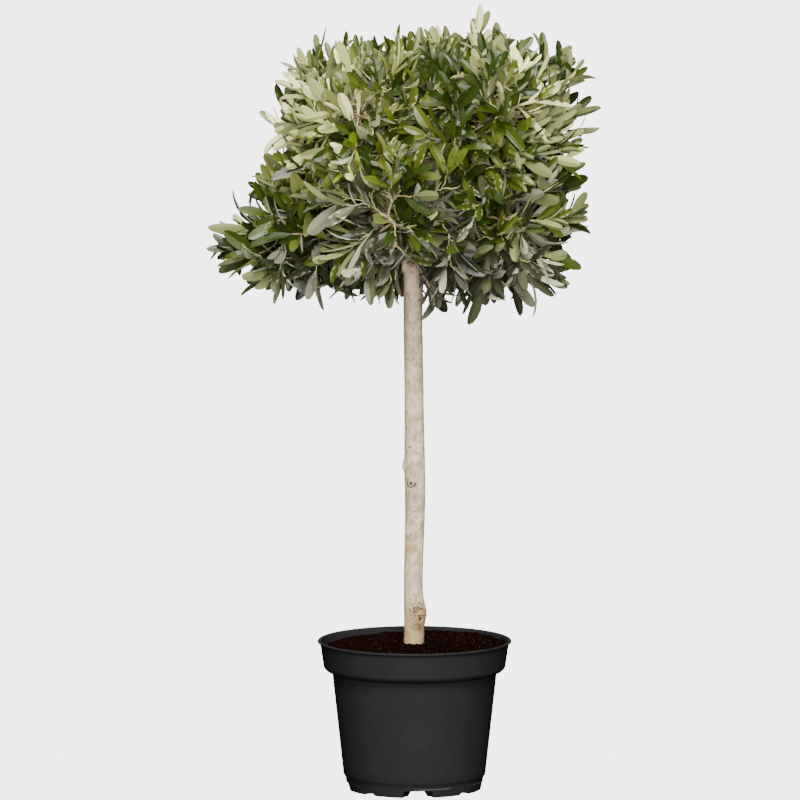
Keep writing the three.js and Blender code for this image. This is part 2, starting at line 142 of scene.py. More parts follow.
def put(tree, kind, sockets=None, **settings):
    """A node with its settings, and with values or links for its sockets by name or number."""
    made = tree.nodes.new(kind)
    for key, value in settings.items():
        setattr(made, key, value)
    for key, value in (sockets or {}).items():
        fill(tree, made.inputs[key], value)
    return made


def sums(tree, operation, *values):
    """The outcome of a sum of sockets and numbers."""
    return put(tree, "ShaderNodeMath", dict(enumerate(values)), operation=operation).outputs[0]


def new_finish(name, roughness=0.5, specular=0.5):
    """A material with its node tree, its main shader and the object coordinates."""
    material = bpy.data.materials.new(name)
    material.use_nodes = True
    tree = material.node_tree
    shader = tree.nodes["Principled BSDF"]
    shader.inputs["Roughness"].default_value = roughness
    shader.inputs["Specular IOR Level"].default_value = specular
    return material, tree, shader, put(tree, "ShaderNodeTexCoord").outputs["Object"]


def grain(tree, place, size, detail=3.0, stretch=None, unevenness=0.0):
    """Noise whose patches are about size metres across, stretched along X, Y and Z if need be."""
    if stretch:
        place = put(tree, "ShaderNodeMapping", {"Vector": place, "Scale": stretch}).outputs[0]
    sockets = {"Vector": place, "Scale": 1 / size, "Detail": detail, "Distortion": unevenness}
    return put(tree, "ShaderNodeTexNoise", sockets).outputs[0]


def spread(tree, value, low, high, to_low=0.0, to_high=1.0):
    """A value's range carried over to another, and held inside it."""
    sockets = {"Value": value, "From Min": low, "From Max": high, "To Min": to_low, "To Max": to_high}
    return put(tree, "ShaderNodeMapRange", sockets).outputs[0]


def blend(tree, share, one, other):
    """A colour between two, each a socket or red, green and blue."""
    made = put(tree, "ShaderNodeMix", {"Factor": share}, data_type="RGBA")
    for key, colour in (("A", one), ("B", other)):
        socket = next(s for s in made.inputs if s.name == key and s.type == "RGBA")
        fill(tree, socket, colour if isinstance(colour, bpy.types.NodeSocket) else (*colour, 1.0))
    return next(s for s in made.outputs if s.type == "RGBA")


def add_bump(tree, shader, height, distance, strength=1.0):
    """Relief too fine for the mesh."""
    sockets = {"Height": height, "Distance": distance, "Strength": strength}
    tree.links.new(put(tree, "ShaderNodeBump", sockets).outputs[0], shader.inputs["Normal"])


def notch_rise(turn, inner):
    """How high the foot ring's outer or inner edge is cut away at a direction in degrees."""
    rise = 0.0
    for i in range(NOTCHES):
        *widths, height = SHALLOW_NOTCH if i % 2 else DEEP_NOTCH
        foot, head = widths[inner]
        across = abs(math.radians(apart(turn, FIRST_NOTCH + i * 360 / NOTCHES))) * FOOT_RADIUS
        share = min(max((foot / 2 - across) / ((foot - head) / 2), 0.0), 1.0)
        rise = max(rise, height * share * share * (3 - 2 * share))
    return rise


shoulder_size = (COLLAR_FOOT - SHOULDER_INNER, COLLAR_Z - SHOULDER_Z)
foot_inner = FOOT_RADIUS - FOOT_WIDTH
body_inside = (BODY_FOOT[0] - WALL, BODY_FOOT[1])
shoulder_inside = (SHOULDER_INNER - WALL, SHOULDER_Z)
collar_inside = (COLLAR_FOOT - WALL, COLLAR_Z)
rim_inside = (COLLAR_TOP - WALL, POT_HEIGHT - INNER_EDGE)
lip_middle = (RIM_RADIUS - LIP_BEAD, POT_HEIGHT - LIP_BEAD)
collar_head = (COLLAR_TOP, POT_HEIGHT - UNDER_LIP[1])
neck_middle = (SHOULDER_INNER + NECK_ROUND[0], SHOULDER_Z - NECK_ROUND[0])
pot_outline = [(radius, FLOOR_TOP) for radius in (0.0, PAD_RADIUS, SLOT_FROM, SLOT_TO)]
upper = (len(pot_outline) - 3, len(pot_outline) - 2)  # rings at the slots' edges, on the floor
pot_outline += bend(*FLOOR_ROUND, -90, -15, 4)
pot_outline += straight(pot_outline[-1], body_inside, 1)
pot_outline += straight(body_inside, shoulder_inside, 8)
pot_outline += bend((SHOULDER_INNER - WALL, COLLAR_Z + WALL), shoulder_size, -90, 0, 8)
pot_outline += straight(collar_inside, rim_inside, 6)
pot_outline += bend(lip_middle, (LIP_BEAD, LIP_BEAD), 90, -90, 8)
pot_outline += [(COLLAR_TOP + UNDER_LIP[0], POT_HEIGHT - 2 * LIP_BEAD), collar_head]
pot_outline += straight(collar_head, (COLLAR_FOOT, COLLAR_Z), 6)
pot_outline += bend((SHOULDER_INNER, COLLAR_Z), shoulder_size, 0, -90, 10)[1:-1]
pot_outline += bend(neck_middle, NECK_ROUND, 90, 180, 4)
pot_outline += straight((SHOULDER_INNER, SHOULDER_Z - NECK_DROP), BODY_FOOT, 12)
pot_outline += [*HEEL_BEND, HEEL]
heel_ring = len(pot_outline) - 2
pot_outline += [(FOOT_RADIUS, 0.0), (FOOT_RADIUS - FOOT_EDGES[0], 0.0)]
pot_outline += [(foot_inner + FOOT_EDGES[1], 0.0), (foot_inner, 0.0)]
pot_outline += [(radius, FLOOR_UNDERSIDE) for radius in (foot_inner, SLOT_TO, SLOT_FROM)]
lower = (len(pot_outline) - 3, len(pot_outline) - 2)  # the same under it
pot_outline += [(PAD_RADIUS, FLOOR_UNDERSIDE), (PAD_RADIUS, 0.0), (0.0, 0.0)]
pot_corners, pot_faces = turned(pot_outline, POT_SIDES)


def pot_corner(ring, side):
    return 1 + ring * POT_SIDES + side % POT_SIDES


for side in range(POT_SIDES):
    for ring in range(heel_ring + 1, heel_ring + 5):
        rise = notch_rise(side - 180, inner=ring > heel_ring + 2)
        spot = pot_corners[pot_corner(ring, side)]
        spot[2] = rise
        if ring == heel_ring + 1:
            radius = FOOT_RADIUS + (HEEL[0] - FOOT_RADIUS) * rise / HEEL[1]
            spot[:2] *= radius / np.hypot(spot[0], spot[1])

slot_sides = set()
slot_walls = []
for i in range(0, NOTCHES, 2):
    middle = FIRST_NOTCH + i * 360 // NOTCHES + 180
    first, end = middle - SLOT_HALF_TURN, middle + SLOT_HALF_TURN
    for side in range(first, end):
        slot_sides.add(side % POT_SIDES)
        for above, below in ((upper[0], lower[1]), (lower[0], upper[1])):
            wall = (pot_corner(above, side), pot_corner(below, side), pot_corner(below, side + 1))
            slot_walls.append((*wall, pot_corner(above, side + 1)))
    ends = [pot_corner(ring, first) for ring in (upper[0], upper[1], lower[0], lower[1])]
    slot_walls.append(tuple(ends))
    ends = [pot_corner(ring, end) for ring in (lower[1], lower[0], upper[1], upper[0])]
    slot_walls.append(tuple(ends))
holes = set()
for side in slot_sides:
    for ring in (upper[0], lower[0]):
        holes.add((pot_corner(ring, side), pot_corner(ring + 1, side)))
pot_faces = [face for face in pot_faces if face[:2] not in holes] + slot_walls

black_plastic, tree, shader, place = new_finish("black moulded plastic", specular=0.04)
dust = sums(tree, "MULTIPLY", grain(tree, place, 0.05, 5), grain(tree, place, 0.006, 4))
flow = grain(tree, place, 0.09, 4, stretch=(1, 1, 0.25))
height = put(tree, "ShaderNodeSeparateXYZ", {0: place}).outputs["Z"]
# A light line along the heel's bend: partly scuffs, and partly a painted highlight where the bend
# catches the light.
heel_edge = sums(tree, "ABSOLUTE", sums(tree, "SUBTRACT", height, SCUFF_AND_HIGHLIGHT_HEIGHT))
heel_band = spread(tree, heel_edge, 0.0, SCUFF_AND_HIGHLIGHT_REACH, 1.0, 0.0)
scuffs_and_highlight = sums(tree, "MULTIPLY", heel_band, spread(tree, grain(tree, place, 0.030, 3), 0.53, 0.60))
colour = blend(tree, spread(tree, dust, 0.2, 0.5), *PLASTIC)
colour = blend(tree, scuffs_and_highlight, colour, SCUFF_AND_HIGHLIGHT_COLOUR)
tree.links.new(colour, shader.inputs["Base Color"])
tree.links.new(spread(tree, flow, 0.3, 0.7, 0.60, 0.70), shader.inputs["Roughness"])
skin = sums(tree, "ADD", grain(tree, place, 0.0011, 2), sums(tree, "MULTIPLY", flow, 3.0))
add_bump(tree, shader, skin, 0.00012, 0.5)

pot = new_piece("pot_moulded", pot_corners, pot_faces, black_plastic, CREASE)
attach(pot, "root")
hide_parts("pot")

# The compost: dark, coarse peat and bark that fills the pot, a little heaped towards the trunk
# and sunk at the edge. Loose crumbs and a few pale fibres and chips lie on it.
SOIL_HEIGHT = 0.181
SOIL_EDGE_DROP = 0.007
SOIL_BACK = (52, 0.0065)  # direction in which it is heaped against the wall, and how much higher
SOIL_GAP = 0.0003
SOIL_FOOT = 0.001  # how much further in its foot is than the heel
SOIL_SIDES = 180
SOIL_RINGS = 60
SOIL_CALM = 0.02  # round the trunk, where the heap lies flat
SOIL_LUMPS = ((0.0022, 0.024, 3), (0.0012, 0.009, 5))  # height, size and seed
SOIL_CLODS = (0.0011, 0.0038, 8)
PEAT = ((0.0010, 0.0005, 0.0004), (0.0138, 0.0055, 0.0040))  # dark, light
PEAT_PATCH = (0.0045, 0.0016, 0.0011)
BARK_CHIP = ((0.075, 0.030, 0.022), (0.20, 0.115, 0.085))
CRUMB_SQUEEZE = ((0.6, 0.6, 0.5), (1.0, 1.0, 1.0))
CRUMB_DEPTH = 0.8
ANY_TURN = ((0, 0, 0), (6.3, 6.3, 6.3))  # radians


def rough(spot, size, seed):
    """Smooth noise from -1 to 1, with bumps about size across."""
    return noise.noise(Vector(spot) / size + Vector((seed, 2 * seed, 3 * seed)))


def towards_back(spot):
    """1 in the direction of the heap against the wall, and 0 away from it."""
    return (0.5 + 0.5 * math.cos(math.atan2(spot[1], spot[0]) - math.radians(SOIL_BACK[0]))) ** 2


def soil_height(spot):
    flat = (*spot[:2], 0)
    reach = np.hypot(spot[0], spot[1])
    drop = SOIL_EDGE_DROP - SOIL_BACK[1] * towards_back(spot)
    lumps = sum(rise * rough(flat, size, seed) for rise, size, seed in SOIL_LUMPS)
    rise, size, seed = SOIL_CLODS
    lumps += rise * abs(rough(flat, size, seed))
    return SOIL_HEIGHT - drop * (reach / soil_edge) ** 3 + lumps * min(reach / SOIL_CALM, 1.0) ** 2


def inside(radius):
    return radius - WALL - SOIL_GAP


wall_slope = (COLLAR_TOP - COLLAR_FOOT) / (POT_HEIGHT - COLLAR_Z)
soil_edge = inside(COLLAR_FOOT + (SOIL_HEIGHT - SOIL_EDGE_DROP - COLLAR_Z) * wall_slope)
soil_outline = [(0.0, SOIL_HEIGHT)] + straight((0.0, SOIL_HEIGHT), (soil_edge, SOIL_HEIGHT), SOIL_RINGS)
soil_outline += [(inside(COLLAR_FOOT), COLLAR_Z)]
soil_outline += [
    (radius - WALL - SOIL_GAP, height + WALL + SOIL_GAP)
    for radius, height in bend((SHOULDER_INNER, COLLAR_Z), shoulder_size, 0, -90, 6)[1:]
]
soil_outline += [(inside(BODY_FOOT[0]), BODY_FOOT[1])]
soil_outline += [(inside(HEEL[0]) - SOIL_FOOT, FLOOR_TOP + SOIL_GAP), (0.0, FLOOR_TOP + SOIL_GAP)]
soil_corners, soil_faces = turned(soil_outline, SOIL_SIDES)
soil_top_corners = 1 + SOIL_RINGS * SOIL_SIDES
for spot in soil_corners[1:soil_top_corners]:
    spot[:2] *= 1 + SOIL_BACK[1] * wall_slope * towards_back(spot) / soil_edge
    spot[2] = soil_height(spot)

compost, tree, shader, place = new_finish("peat compost", roughness=0.95, specular=0.0)
fibre = grain(tree, place, 0.004, 6, unevenness=0.6)
patch = grain(tree, place, 0.02, 4)
colour = blend(tree, spread(tree, fibre, 0.35, 0.68), *PEAT)
colour = blend(tree, spread(tree, patch, 0.4, 0.7, 0.0, 0.5), colour, PEAT_PATCH)
tree.links.new(colour, shader.inputs["Base Color"])
add_bump(tree, shader, grain(tree, place, 0.0018, 5), 0.0012)

soil = new_piece("soil_heaped", soil_corners, soil_faces, compost)
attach(soil, "root")
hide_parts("soil")


def growth_tree(name, sizes):
    """A Geometry Nodes tree with its input, its output and a named input for each size."""
    tree = bpy.data.node_groups.new(name, "GeometryNodeTree")
    interface = tree.interface
    interface.new_socket("Geometry", in_out="INPUT", socket_type="NodeSocketGeometry")
    for label, value in sizes.items():
        kind = "NodeSocketMaterial" if isinstance(value, bpy.types.Material) else "NodeSocketFloat"
        interface.new_socket(label, in_out="INPUT", socket_type=kind).default_value = value
    interface.new_socket("Geometry", in_out="OUTPUT", socket_type="NodeSocketGeometry")
    return tree, tree.nodes.new("NodeGroupInput").outputs, tree.nodes.new("NodeGroupOutput").inputs[0]


# Marks for the trees' own use, which don't stay on the meshes that they make.
SPENT = ("girth", "along", "facing", "length", "form", "upper_side")


def grown(name, mesh, tree, sizes):
    """The plain mesh object that a tree makes from a mesh, with these sizes."""
    base = bpy.data.objects.new(name + "_base", mesh)
    bpy.context.scene.collection.objects.link(base)
    modifier = base.modifiers.new("growth", "NODES")
    modifier.node_group = tree
    for item in tree.interface.items_tree:
        if item.item_type == "SOCKET" and item.in_out == "INPUT" and item.name in sizes:
            modifier[item.identifier] = sizes[item.name]
    evaluated = base.evaluated_get(bpy.context.evaluated_depsgraph_get())
    result = bpy.data.meshes.new_from_object(evaluated)
    result.name = name
    for spent in [one.name for one in result.attributes if one.name in SPENT]:
        result.attributes.remove(result.attributes[spent])
    base.modifiers.remove(modifier)
    bpy.data.objects.remove(base)
    made = bpy.data.objects.new(name, result)
    bpy.context.scene.collection.objects.link(made)
    return made


def random_number(tree, low, high, seed, kind="FLOAT"):
    """A random number, or a vector of three, between two."""
    made = put(tree, "FunctionNodeRandomValue", {"Seed": seed}, data_type=kind)
    wanted = "VECTOR" if kind == "FLOAT_VECTOR" else "VALUE"
    for label, value in (("Min", low), ("Max", high)):
        fill(tree, next(s for s in made.inputs if s.name == label and s.type == wanted), value)
    return next(s for s in made.outputs if s.type == wanted)


# Crumbs and chips are small lumps, squeezed at random, lengthened, and laid at any turn.
crumb_sizes = {"Per square metre": 60000.0, "Smallest": 0.0005, "Largest": 0.0019, "Length": 1.3}
crumbling, given, result = growth_tree("crumbs", crumb_sizes | {"Material": compost})
sockets = {"Mesh": given["Geometry"], "Density": given["Per square metre"], "Seed": 4}
scattered = put(crumbling, "GeometryNodeDistributePointsOnFaces", sockets)
crumb = put(crumbling, "GeometryNodeMeshIcoSphere", {"Radius": 1.0, "Subdivisions": 1})
girth = random_number(crumbling, given["Smallest"], given["Largest"], 5)
squeeze = random_number(crumbling, *CRUMB_SQUEEZE, 6, "FLOAT_VECTOR")
sockets = {"X": given["Length"], "Y": 1.0, "Z": CRUMB_DEPTH}
lengthen = put(crumbling, "ShaderNodeCombineXYZ", sockets).outputs[0]
sockets = {0: squeeze, 1: lengthen}
shape = put(crumbling, "ShaderNodeVectorMath", sockets, operation="MULTIPLY").outputs[0]
sockets = {0: shape, "Scale": girth}
shape = put(crumbling, "ShaderNodeVectorMath", sockets, operation="SCALE").outputs[0]
laid = put(
    crumbling,
    "GeometryNodeInstanceOnPoints",
    {
        "Points": scattered.outputs["Points"],
        "Instance": crumb.outputs["Mesh"],
        "Rotation": random_number(crumbling, *ANY_TURN, 7, "FLOAT_VECTOR"),
        "Scale": shape,
    },
)
real = put(crumbling, "GeometryNodeRealizeInstances", {"Geometry": laid.outputs[0]})
sockets = {"Geometry": real.outputs[0], "Material": given["Material"]}
painted = put(crumbling, "GeometryNodeSetMaterial", sockets)
crumbling.links.new(painted.outputs[0], result)


def soil_surface(name):
    """The compost's upper side alone, for things to lie on."""
    faces = [face for face in soil_faces if max(face) < soil_top_corners - SOIL_SIDES]
    mesh = bpy.data.meshes.new(name)
    mesh.from_pydata([tuple(spot) for spot in soil_corners[:soil_top_corners]], [], faces)
    return mesh


pale_chip, tree, shader, place = new_finish("pale bark chips", roughness=0.9, specular=0.0)
fibre = grain(tree, place, 0.003, 3)
colour = blend(tree, spread(tree, fibre, 0.35, 0.65), *BARK_CHIP)
tree.links.new(colour, shader.inputs["Base Color"])

crumbs = grown("soil_crumbs", soil_surface("crumb_bed"), crumbling, crumb_sizes | {"Material": compost})
chip_sizes = {"Per square metre": 6000.0, "Smallest": 0.0003, "Largest": 0.0008, "Length": 4.0}
chips = grown("soil_chips", soil_surface("chip_bed"), crumbling, chip_sizes | {"Material": pale_chip})
for loose in (crumbs, chips):
    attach(loose, "root")

# The trunk: one straight pale stem with smooth young bark. It has a slight bow, a swelling at mid
# height, a rough burr over its foot, and the scars and stubs of shoots that were cut off.
TRUNK_RADIUS = 0.0118
FORK_HEIGHT = 0.640
TRUNK_FOOT = 0.1813
TRUNK_BURIED = 0.172
TRUNK_TIP = 0.005
TRUNK_BOW = [
    (-0.001, 0, TRUNK_FOOT),
    (-0.0015, 0, 0.260),
    (0.0006, 0.001, 0.350),
    (0, 0.001, 0.420),
    (-0.0008, 0, 0.500),
    (-0.002, -0.001, 0.600),
    (0, 0, 0.690),
]
FLARE = (0.0008, 0.009)  # rise, height over which it fades
WAIST = (0.0001, 0.240, 0.050)  # depth, height, height over which it fades
SWELLING = (0.001, 0.390, 0.060)
# Height, direction in degrees, rise, and how far it fades in height and in degrees.
SCARS = [
    (0.222, -30, 0.0040, 0.014, 44),
    (0.212, 0, 0.0020, 0.022, 48),
    (0.212, -80, 0.0016, 0.009, 30),
    (0.402, 182, 0.0032, 0.006, 18),
    (0.381, 245, 0.0018, 0.007, 20),
    (0.520, 70, 0.002, 0.006, 18),
    (0.610, 8, 0.0022, 0.005, 18),
]
FRONT = -90  # degrees from +X
TRUNK_SIDES = 96
TRUNK_STEP = 0.00125
HEAD_FROM = 0.650  # where the trunk's head begins, whose rings are HEAD_STEP apart
HEAD_STEP = 0.0025
# The bark's colours. The first two go from its darker to its lighter mottles, and the second of them,
# for the trunk's head, is its own colour lifted as painted light against the crown's shadow.
BARK_BELOW = ((0.43, 0.33, 0.197), (0.87, 0.70, 0.445))
BARK_ABOVE_WITH_PAINTED_LIGHT = ((0.57, 0.43, 0.262), (0.80, 0.62, 0.388))
BARK_PATCH = (0.37, 0.285, 0.205)
BARK_FLECK = (0.24, 0.17, 0.11)
BARK_PALE = (0.76, 0.66, 0.52)
BARK_TAN = (0.48, 0.32, 0.13)
BARK_DARK = (0.035, 0.020, 0.012)

# The crown's outline: a rounded box of leaf tips, which leans to the right at its top and is
# fuller at the lower left.
CROWN_CENTRE = np.array((0.012, 0, 0.775))
CROWN_HALF = np.array((0.216, 0.204, 0.169))
CROWN_LEAN = 0.013
SQUARENESS = (4.6, 4, 8)  # round the crown, over its middle, under it
BULGE = (182, 40, -0.66, 0.34, 0.24)  # direction, width, level, height, swell
EDGE_STEP = 0.002
EDGE_REACH = 0.44  # how far the edge is looked for


def hump(offset, width):
    return np.exp(-((offset / width) ** 2))


def within(value, edge, softness):
    """1 well under the edge and 0 well over it."""
    return 0.5 - 0.5 * math.tanh((value - edge) / (2 * softness))


def level_of(spots):
    """How high points are in the crown, from -1 at its foot to 1 at its top."""
    return (spots[..., 2] - CROWN_CENTRE[2]) / CROWN_HALF[2]


def crown_measure(spots):
    """Over 1 outside the crown."""
    level = level_of(spots)
    x = (spots[..., 0] - CROWN_CENTRE[0] - CROWN_LEAN * level) / CROWN_HALF[0]
    y = (spots[..., 1] - CROWN_CENTRE[1]) / CROWN_HALF[1]
    direction, wide, at, tall, swell = BULGE
    bulge = hump(apart(np.degrees(np.arctan2(y, x)), direction), wide) * hump(level - at, tall)
    across = np.hypot(x, y) / (1 + swell * bulge)
    squareness = np.where(level > 0, SQUARENESS[1], SQUARENESS[2])
    return across ** SQUARENESS[0] + np.abs(level) ** squareness


def edge_from(spot, direction):
    """How far it is from a point in the crown to its edge."""
    reach = np.arange(0, EDGE_REACH, EDGE_STEP)
    outside = crown_measure(spot + reach[:, None] * direction) >= 1
    return reach[np.argmax(outside)] if outside.any() else reach[-1]


# The masses that the crown grows in: a tier of five, a tier of four and one on the trunk's tip.
# A tier's reach, level, lowest fork, step between forks, way in and down, bough's thickness.
LOWER = (0.116, -0.064, 0.640, 0.007, (0.9, 0.44), 0.0062)
UPPER = (0.114, 0.062, 0.690, 0.014, (0.7, 0.71), 0.0054)
TOP = (0, 0.084, None, None, (0, 1), TRUNK_TIP)
PLACES = [
    ("lower_left", 180, LOWER),
    ("lower_front_left", 252, LOWER),
    ("lower_front_right", 324, LOWER),
    ("lower_back_right", 36, LOWER),
    ("lower_back_left", 108, LOWER),
    ("upper_front_left", 225, UPPER),
    ("upper_front_right", 315, UPPER),
    ("upper_back_right", 45, UPPER),
    ("upper_back_left", 135, UPPER),
    ("top", 0, TOP),
]
CORE_SHARE = 0.46
CORE_INWARDS = 0.040
CORE_LUMP = 0.08
STUB = 0.005
SLIT = 0.0006


def unit(vector):
    return vector / np.linalg.norm(vector)


def level_way(turn):
    """The level way outwards at a direction in degrees."""
    return np.array((math.cos(math.radians(turn)), math.sin(math.radians(turn)), 0))


hearts, entries = [], []
for name, turn, tier in PLACES:
    out = level_way(turn)
    hearts.append(CROWN_CENTRE + out * tier[0] + (0, 0, tier[1]))
    entries.append(unit(np.array((*(-tier[4][0] * out[:2]), -tier[4][1]))))


def room_left(mass, spot):
    """How far a point is from the space of the nearest other mass."""
    room = math.inf
    for other, heart in enumerate(hearts):
        if other != mass:
            across = heart - hearts[mass]
            room = min(room, np.dot(hearts[mass] + across / 2 - spot, unit(across)) - SLIT)
    return room


def mouth_of(mass):
    """Where a bough comes out of the close growth round a mass's heart."""
    heart, way = hearts[mass], entries[mass]
    reach = min(edge_from(heart, way) * CORE_SHARE, CORE_INWARDS)
    while room_left(mass, heart + way * reach) < EDGE_STEP:
        reach -= EDGE_STEP
    x, y, z = way
    lumps = math.sin(23 * x + 19 * y) + math.sin(21 * z + 17 * x)
    return heart + way * (reach * (1 - CORE_LUMP * (1 + lumps / 2)) + STUB)


mouths = [mouth_of(mass) for mass in range(len(PLACES))]
TOP_MASS = len(PLACES) - 1


def smooth_line(stops, steps):
    """A centripetal Catmull-Rom curve through all its stops."""
    stops = np.array(stops, float)
    stops = np.vstack([2 * stops[0] - stops[1], stops, 2 * stops[-1] - stops[-2]])
    spots = []
    for before, start, end, after in zip(stops, stops[1:], stops[2:], stops[3:]):
        first, second, third = (
            math.sqrt(np.linalg.norm(b - a)) for a, b in ((before, start), (start, end), (end, after))
        )
        leave = (start - before) / first - (end - before) / (first + second) + (end - start) / second
        arrive = (end - start) / second - (after - start) / (second + third) + (after - end) / third
        leave, arrive = leave * second, arrive * second
        for t in np.arange(steps) / steps:
            square = 3 * start - 3 * end + 2 * leave + arrive
            cube = 2 * start - 2 * end + leave + arrive
            spots.append(start + leave * t - square * t * t + cube * t**3)
    return np.array(spots + [stops[-2]])


trunk_top = mouths[TOP_MASS]
trunk_line = smooth_line([*TRUNK_BOW, trunk_top - (0, 0, 0.030), trunk_top], 40)


def trunk_middle(height):
    """The point on the trunk's middle line at a height."""
    x, y = (np.interp(height, trunk_line[:, 2], trunk_line[:, k]) for k in (0, 1))
    return np.stack([x, y, height + 0 * x], axis=-1)


def trunk_girth(height):
    girth = TRUNK_RADIUS + FLARE[0] * hump(height - TRUNK_FOOT, FLARE[1])
    girth = girth - WAIST[0] * hump(height - WAIST[1], WAIST[2])
    girth = girth + SWELLING[0] * hump(height - SWELLING[1], SWELLING[2])
    head = np.clip((height - FORK_HEIGHT) / (trunk_top[2] - FORK_HEIGHT), 0, 1)
    return girth + (TRUNK_TIP - girth) * head


# The young bark's own relief: height, size and seed.
WAVES = ((0.00030, 0.017, 1), (0.00014, 0.006, 2))
LENTICELS = (0.00034, 0.0016, 4)
WRINKLES = (0.00010, 0.0042, 6)


def bark_relief(spot):
    """How high the young bark's slow waves, short level lenticels and fine wrinkles stand."""
    x, y, z = spot
    waves = sum(rise * rough(spot, size, seed) for rise, size, seed in WAVES)
    rise, size, seed = LENTICELS
    lenticels = rise * max(rough((x * 0.22, y * 0.22, z), size, seed) - 0.2, 0)
    rise, size, seed = WRINKLES
    return waves + lenticels + rise * rough((x, y, z * 3.5), size, seed)


# Marks that show from the front: across from the middle and up, both in metres.
KNOT = (-0.0053, 0.3817)
DOT = (-0.0070, 0.4264)
LEVEL_SCAR = (0.0, 0.3480)
BURR = (0.0066, 0.2225)
HOLE = (0.0094, 0.2120)
OVAL = (0.0040, 0.2030)
STAIN = (-0.0031, 0.3005)
RIGHT_STUB = (0.0090, 0.6090)
PITS = [(HOLE, 0.0018, 0.0034, 1.4), (DOT, 0.0013, 0.0009, 1.3)]  # size, depth and darkness
PITS += [(KNOT, 0.0021, 0.0012, 1.2), (RIGHT_STUB, 0.0016, 0.0005, 0.8)]
KNOT_HALO = (1.5, 0.0048)  # how much wider than high, and size
KNOT_RINGS = ((0.0034, 0.0008, 0.0007), (0.0046, 0.0010, -0.0004))  # radius, width and rise
RING_WIDTH = 1.25
RING_HEAD = 0.0008  # over the knot's middle, where its rings end
LEDGE = (0.0034, 0.0009, 0.0006)  # the level scar's width, height and rise
LEDGE_SHADE = (0.0030, 0.0013)  # the width of the painted shadow line under it, and how far under
BURR_SIZE = 0.0105
BURR_RISE = (0.0052, -0.0012)  # by its lumps, and all over
BURR_CRACKS = (0.42, 4.5)  # the level of lumps under which the cracks are dark, partly their own colour and partly painted shade, and how sharply
OVAL_SIZE = (1.5, 0.0050, 0.0005)  # how much wider than high, size and softness
OVAL_RIPPLE = (0.00050, 160, 0.0004)  # step, slant and rise
STAIN_SIZE = (0.0105, 0.0075)
STREAK = (0.0012, 0.268, 0.345)  # across, and from height to height
STREAK_SIZE = (0.0014, 0.008, 0.004)  # width, and over what height it begins and ends
TAN_FOOT = (0.224, 0.009)  # height and softness of the foot's tan skin
SOILED_FOOT = (0.200, 0.004)
SHADED_SIDE = (0.0065, 0.0012)  # painted shade down the foot's right side: how far to the right it begins, and its softness


def from_mark(across, height, mark, wide=1.0):
    """How far a point is from a mark that may be wider than high."""
    return math.hypot((across - mark[0]) / wide, height - mark[1])


def bark_marks_and_shade(spot, across, height):
    """How high the marks stand at a point of the trunk, how dark it is by its marks and by painted
    shade, and how tan.
    """
    x, y, z = spot
    burr = hump(across - BURR[0], BURR_SIZE) * hump(height - BURR[1], BURR_SIZE)
    lumps = abs(rough(spot, 0.0034, 7)) + 0.6 * abs(rough(spot, 0.0016, 9))
    rise = BURR_RISE[0] * burr * lumps + BURR_RISE[1] * burr
    # The cracks between the burr's lumps are dark, partly their own colour and partly painted shade in
    # these hollows.
    marks = [min(1.6 * burr, 1.0) * min(max(BURR_CRACKS[0] - lumps, 0) * BURR_CRACKS[1], 1.0)]
    for place, size, depth, darkness in PITS:
        pit = hump(from_mark(across, height, place), size)
        rise -= depth * pit
        marks.append(darkness * pit)
    halo = hump(from_mark(across, height, KNOT, KNOT_HALO[0]), KNOT_HALO[1])
    if height < KNOT[1] + RING_HEAD:
        for radius, width, lift in KNOT_RINGS:
            ring = hump(from_mark(across, height, KNOT, RING_WIDTH) - radius, width)
            rise += lift * ring
        marks.append(ring)
    over = height - LEVEL_SCAR[1]
    beside = across - LEVEL_SCAR[0]
    rise += LEDGE[2] * hump(over, LEDGE[1]) * hump(beside, LEDGE[0])
    # A painted shadow: a dark line under the level scar's ledge.
    marks.append(0.8 * hump(over + LEDGE_SHADE[1], LEDGE[1]) * hump(beside, LEDGE_SHADE[0]))
    oval = within(from_mark(across, height, OVAL, OVAL_SIZE[0]), *OVAL_SIZE[1:])
    wave = (height - OVAL[1]) / OVAL_RIPPLE[0] + OVAL_RIPPLE[1] * across
    ripple = oval * (0.5 + 0.5 * math.sin(wave))
    rise += OVAL_RIPPLE[2] * ripple * oval
    foot = within(height, *TAN_FOOT)
    soiled = 0.30 * foot * max(rough((x, y, z * 0.6), 0.0065, 12) + 0.1, 0)
    soiled += (0.16 + 0.16 * rough(spot, 0.004, 13)) * within(height, *SOILED_FOOT)
    stain = (hump(across - STAIN[0], STAIN_SIZE[0]) * hump(height - STAIN[1], STAIN_SIZE[1])) ** 2
    sway = 0.0010 * rough((0, 0, height), 0.012, 14)
    streak = hump(across - STREAK[0] - sway, STREAK_SIZE[0])
    streak *= within(height, STREAK[2], STREAK_SIZE[2]) - within(height, STREAK[1], STREAK_SIZE[1])
    # Painted shade: the foot darker down its right side.
    shaded = foot * within(-across, -SHADED_SIDE[0], SHADED_SIDE[1])
    shades = oval * (0.20 + 0.40 * (1 - ripple)) + 0.25 * halo + soiled + 0.16 * stain
    shades += 0.13 * streak + 0.20 * shaded
    tan = 2.2 * stain + foot * (0.95 + 0.25 * oval) + 0.55 * burr
    return rise, min(max(marks) + shades, 1.0), min(tan, 1.0)


